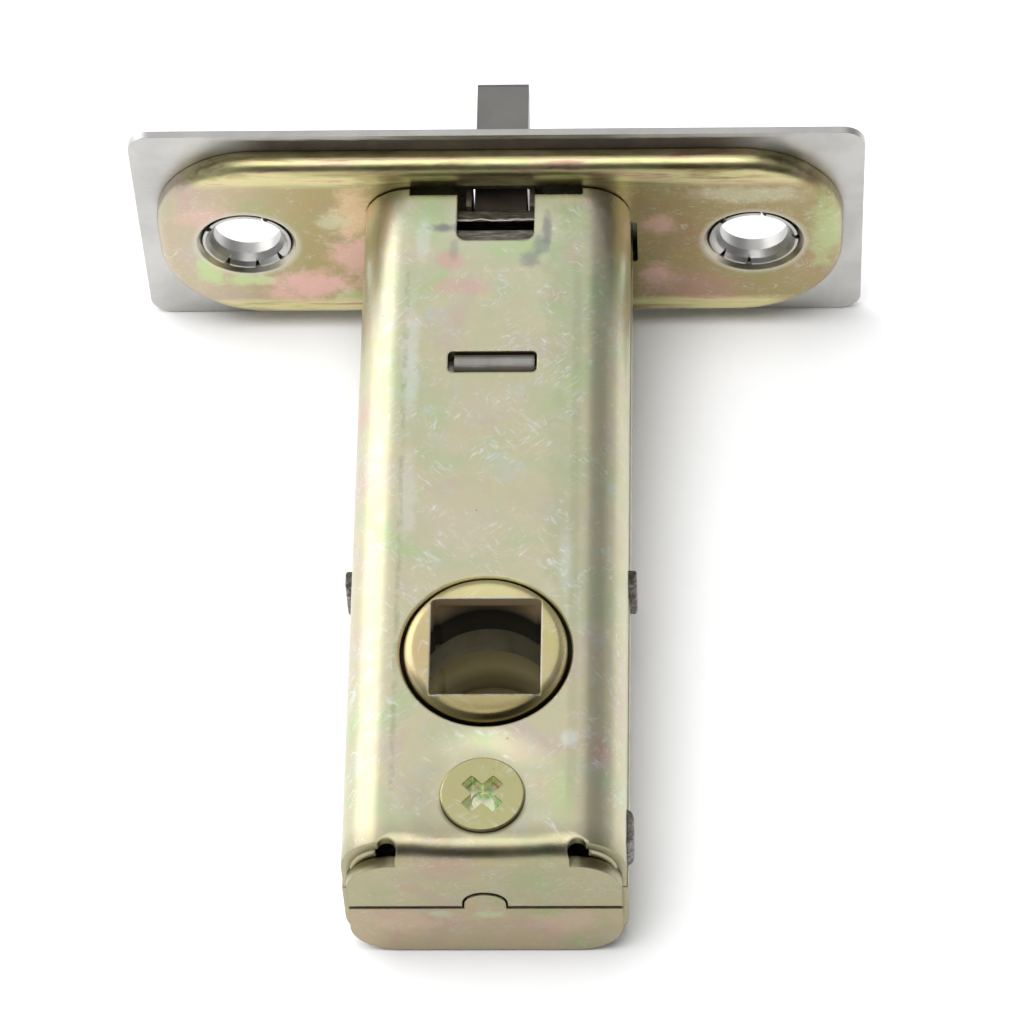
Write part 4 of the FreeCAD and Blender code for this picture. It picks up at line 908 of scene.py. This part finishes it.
def make_floor():
    """A pale table top that touches the forend's lower edge and the case's rear edge."""
    low_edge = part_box("outer_faceplate")[0].z
    front = Vector((0.0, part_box("outer_faceplate")[0].y, low_edge))
    rear_low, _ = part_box("rear_case")
    rear = Vector((0.0, rear_low.y + REAR_REST, rear_low.z))
    along = (front - rear).normalized()
    up = Vector((1.0, 0.0, 0.0)).cross(along)
    mesh = bpy.data.meshes.new(FLOOR_NAME)
    middle = (front + rear) / 2
    half = FLOOR_SIZE / 2
    side = Vector((1.0, 0.0, 0.0))
    corners = []
    for across, ahead in ((-1, -1), (1, -1), (1, 1), (-1, 1)):
        corner = middle + side * half * across + along * half * ahead
        corners.append(corner - up * FLOOR_GAP)
    mesh.from_pydata(corners, [], [(0, 1, 2, 3)])
    floor = bpy.data.objects.new(FLOOR_NAME, mesh)
    bpy.context.scene.collection.objects.link(floor)
    s = Shader("pale_table")
    speckle = s.noise(2.0 * MM, 2.0)
    tint = s.mix(s.band(speckle, *NOISE_SPAN, 0.3), (0.94, 0.94, 0.94), (0.92, 0.92, 0.92))
    s.feed(s.bsdf.inputs["Base Color"], tint)
    s.bsdf.inputs["Roughness"].default_value = 0.7
    s.bsdf.inputs["Specular IOR Level"].default_value = 0.2
    mesh.materials.append(s.material)


def add_panel(name, place, size, power):
    """A soft rectangular light that looks at the latch."""
    light = bpy.data.lights.new(name, "AREA")
    light.shape = "RECTANGLE"
    light.size, light.size_y = size
    light.energy = power
    lamp = bpy.data.objects.new(name, light)
    bpy.context.scene.collection.objects.link(lamp)
    lamp.location = place
    lamp.rotation_mode = "QUATERNION"
    lamp.rotation_quaternion = (place - LIGHT_AIM).to_track_quat("Z", "Y")
    return lamp


def make_world():
    """An even studio room that darkens behind the camera and to its right."""
    world = bpy.data.worlds.new("studio")
    world.use_nodes = True
    tree = world.node_tree
    backdrop = tree.nodes["Background"]
    place = tree.nodes.new("ShaderNodeTexCoord").outputs["Generated"]
    level = None
    for toward, low, high, loss in DARK_CORNERS:
        dot = tree.nodes.new("ShaderNodeVectorMath")
        dot.operation = "DOT_PRODUCT"
        tree.links.new(place, dot.inputs[0])
        dot.inputs[1].default_value = Vector(toward).normalized()
        shade = tree.nodes.new("ShaderNodeMapRange")
        shade.interpolation_type = "SMOOTHSTEP"
        tree.links.new(dot.outputs["Value"], shade.inputs["Value"])
        shade.inputs["From Min"].default_value = low
        shade.inputs["From Max"].default_value = high
        shade.inputs["To Min"].default_value = 1.0
        shade.inputs["To Max"].default_value = 1.0 - loss
        product = tree.nodes.new("ShaderNodeMath")
        product.operation = "MULTIPLY"
        product.inputs[0].default_value = ROOM_LEVEL
        if level is not None:
            tree.links.new(level, product.inputs[0])
        tree.links.new(shade.outputs["Result"], product.inputs[1])
        level = product.outputs[0]
    tree.links.new(level, backdrop.inputs["Strength"])
    backdrop.inputs["Color"].default_value = (0.95, 0.97, 1.0, 1.0)
    bpy.context.scene.world = world


def make_lights():
    """The panels, of which the table's light reaches the floor alone."""
    for name, toward, away, size, level in PANELS:
        place = LIGHT_AIM + Vector(toward).normalized() * away
        lamp = add_panel(name, place, size, level * math.pi * size[0] * size[1])
        if name == TABLE_LIGHT:
            lit = bpy.data.collections.new("lit_by_table_light")
            lit.objects.link(bpy.data.objects[FLOOR_NAME])
            lamp.light_linking.receiver_collection = lit


def make_camera():
    """The photograph's camera, with its roll and its off-centre frame."""
    away = Vector(
        (
            math.sin(CAMERA_AZIMUTH) * math.cos(CAMERA_ELEVATION),
            -math.cos(CAMERA_AZIMUTH) * math.cos(CAMERA_ELEVATION),
            math.sin(CAMERA_ELEVATION),
        )
    )
    right = (-away).cross(Vector((0.0, 0.0, 1.0))).normalized()
    up = right.cross(-away)
    across = right * math.cos(CAMERA_ROLL) + up * math.sin(CAMERA_ROLL)
    upward = up * math.cos(CAMERA_ROLL) - right * math.sin(CAMERA_ROLL)
    turn = Matrix((across, upward, away)).transposed().to_4x4()
    data = bpy.data.cameras.new("camera")
    data.sensor_width = SENSOR_MM
    data.lens = FOCAL_PX / IMAGE_PX * SENSOR_MM
    data.shift_x = (IMAGE_PX / 2 - PRINCIPAL_PX[0]) / IMAGE_PX
    data.shift_y = (PRINCIPAL_PX[1] - IMAGE_PX / 2) / IMAGE_PX
    camera = bpy.data.objects.new("camera", data)
    bpy.context.scene.collection.objects.link(camera)
    camera.matrix_world = Matrix.Translation(CAMERA_TARGET + away * CAMERA_DISTANCE) @ turn
    bpy.context.scene.camera = camera


dress_nodes()
add_pieces()
make_floor()
make_world()
make_lights()
make_camera()
bpy.context.scene.view_settings.view_transform = "Standard"
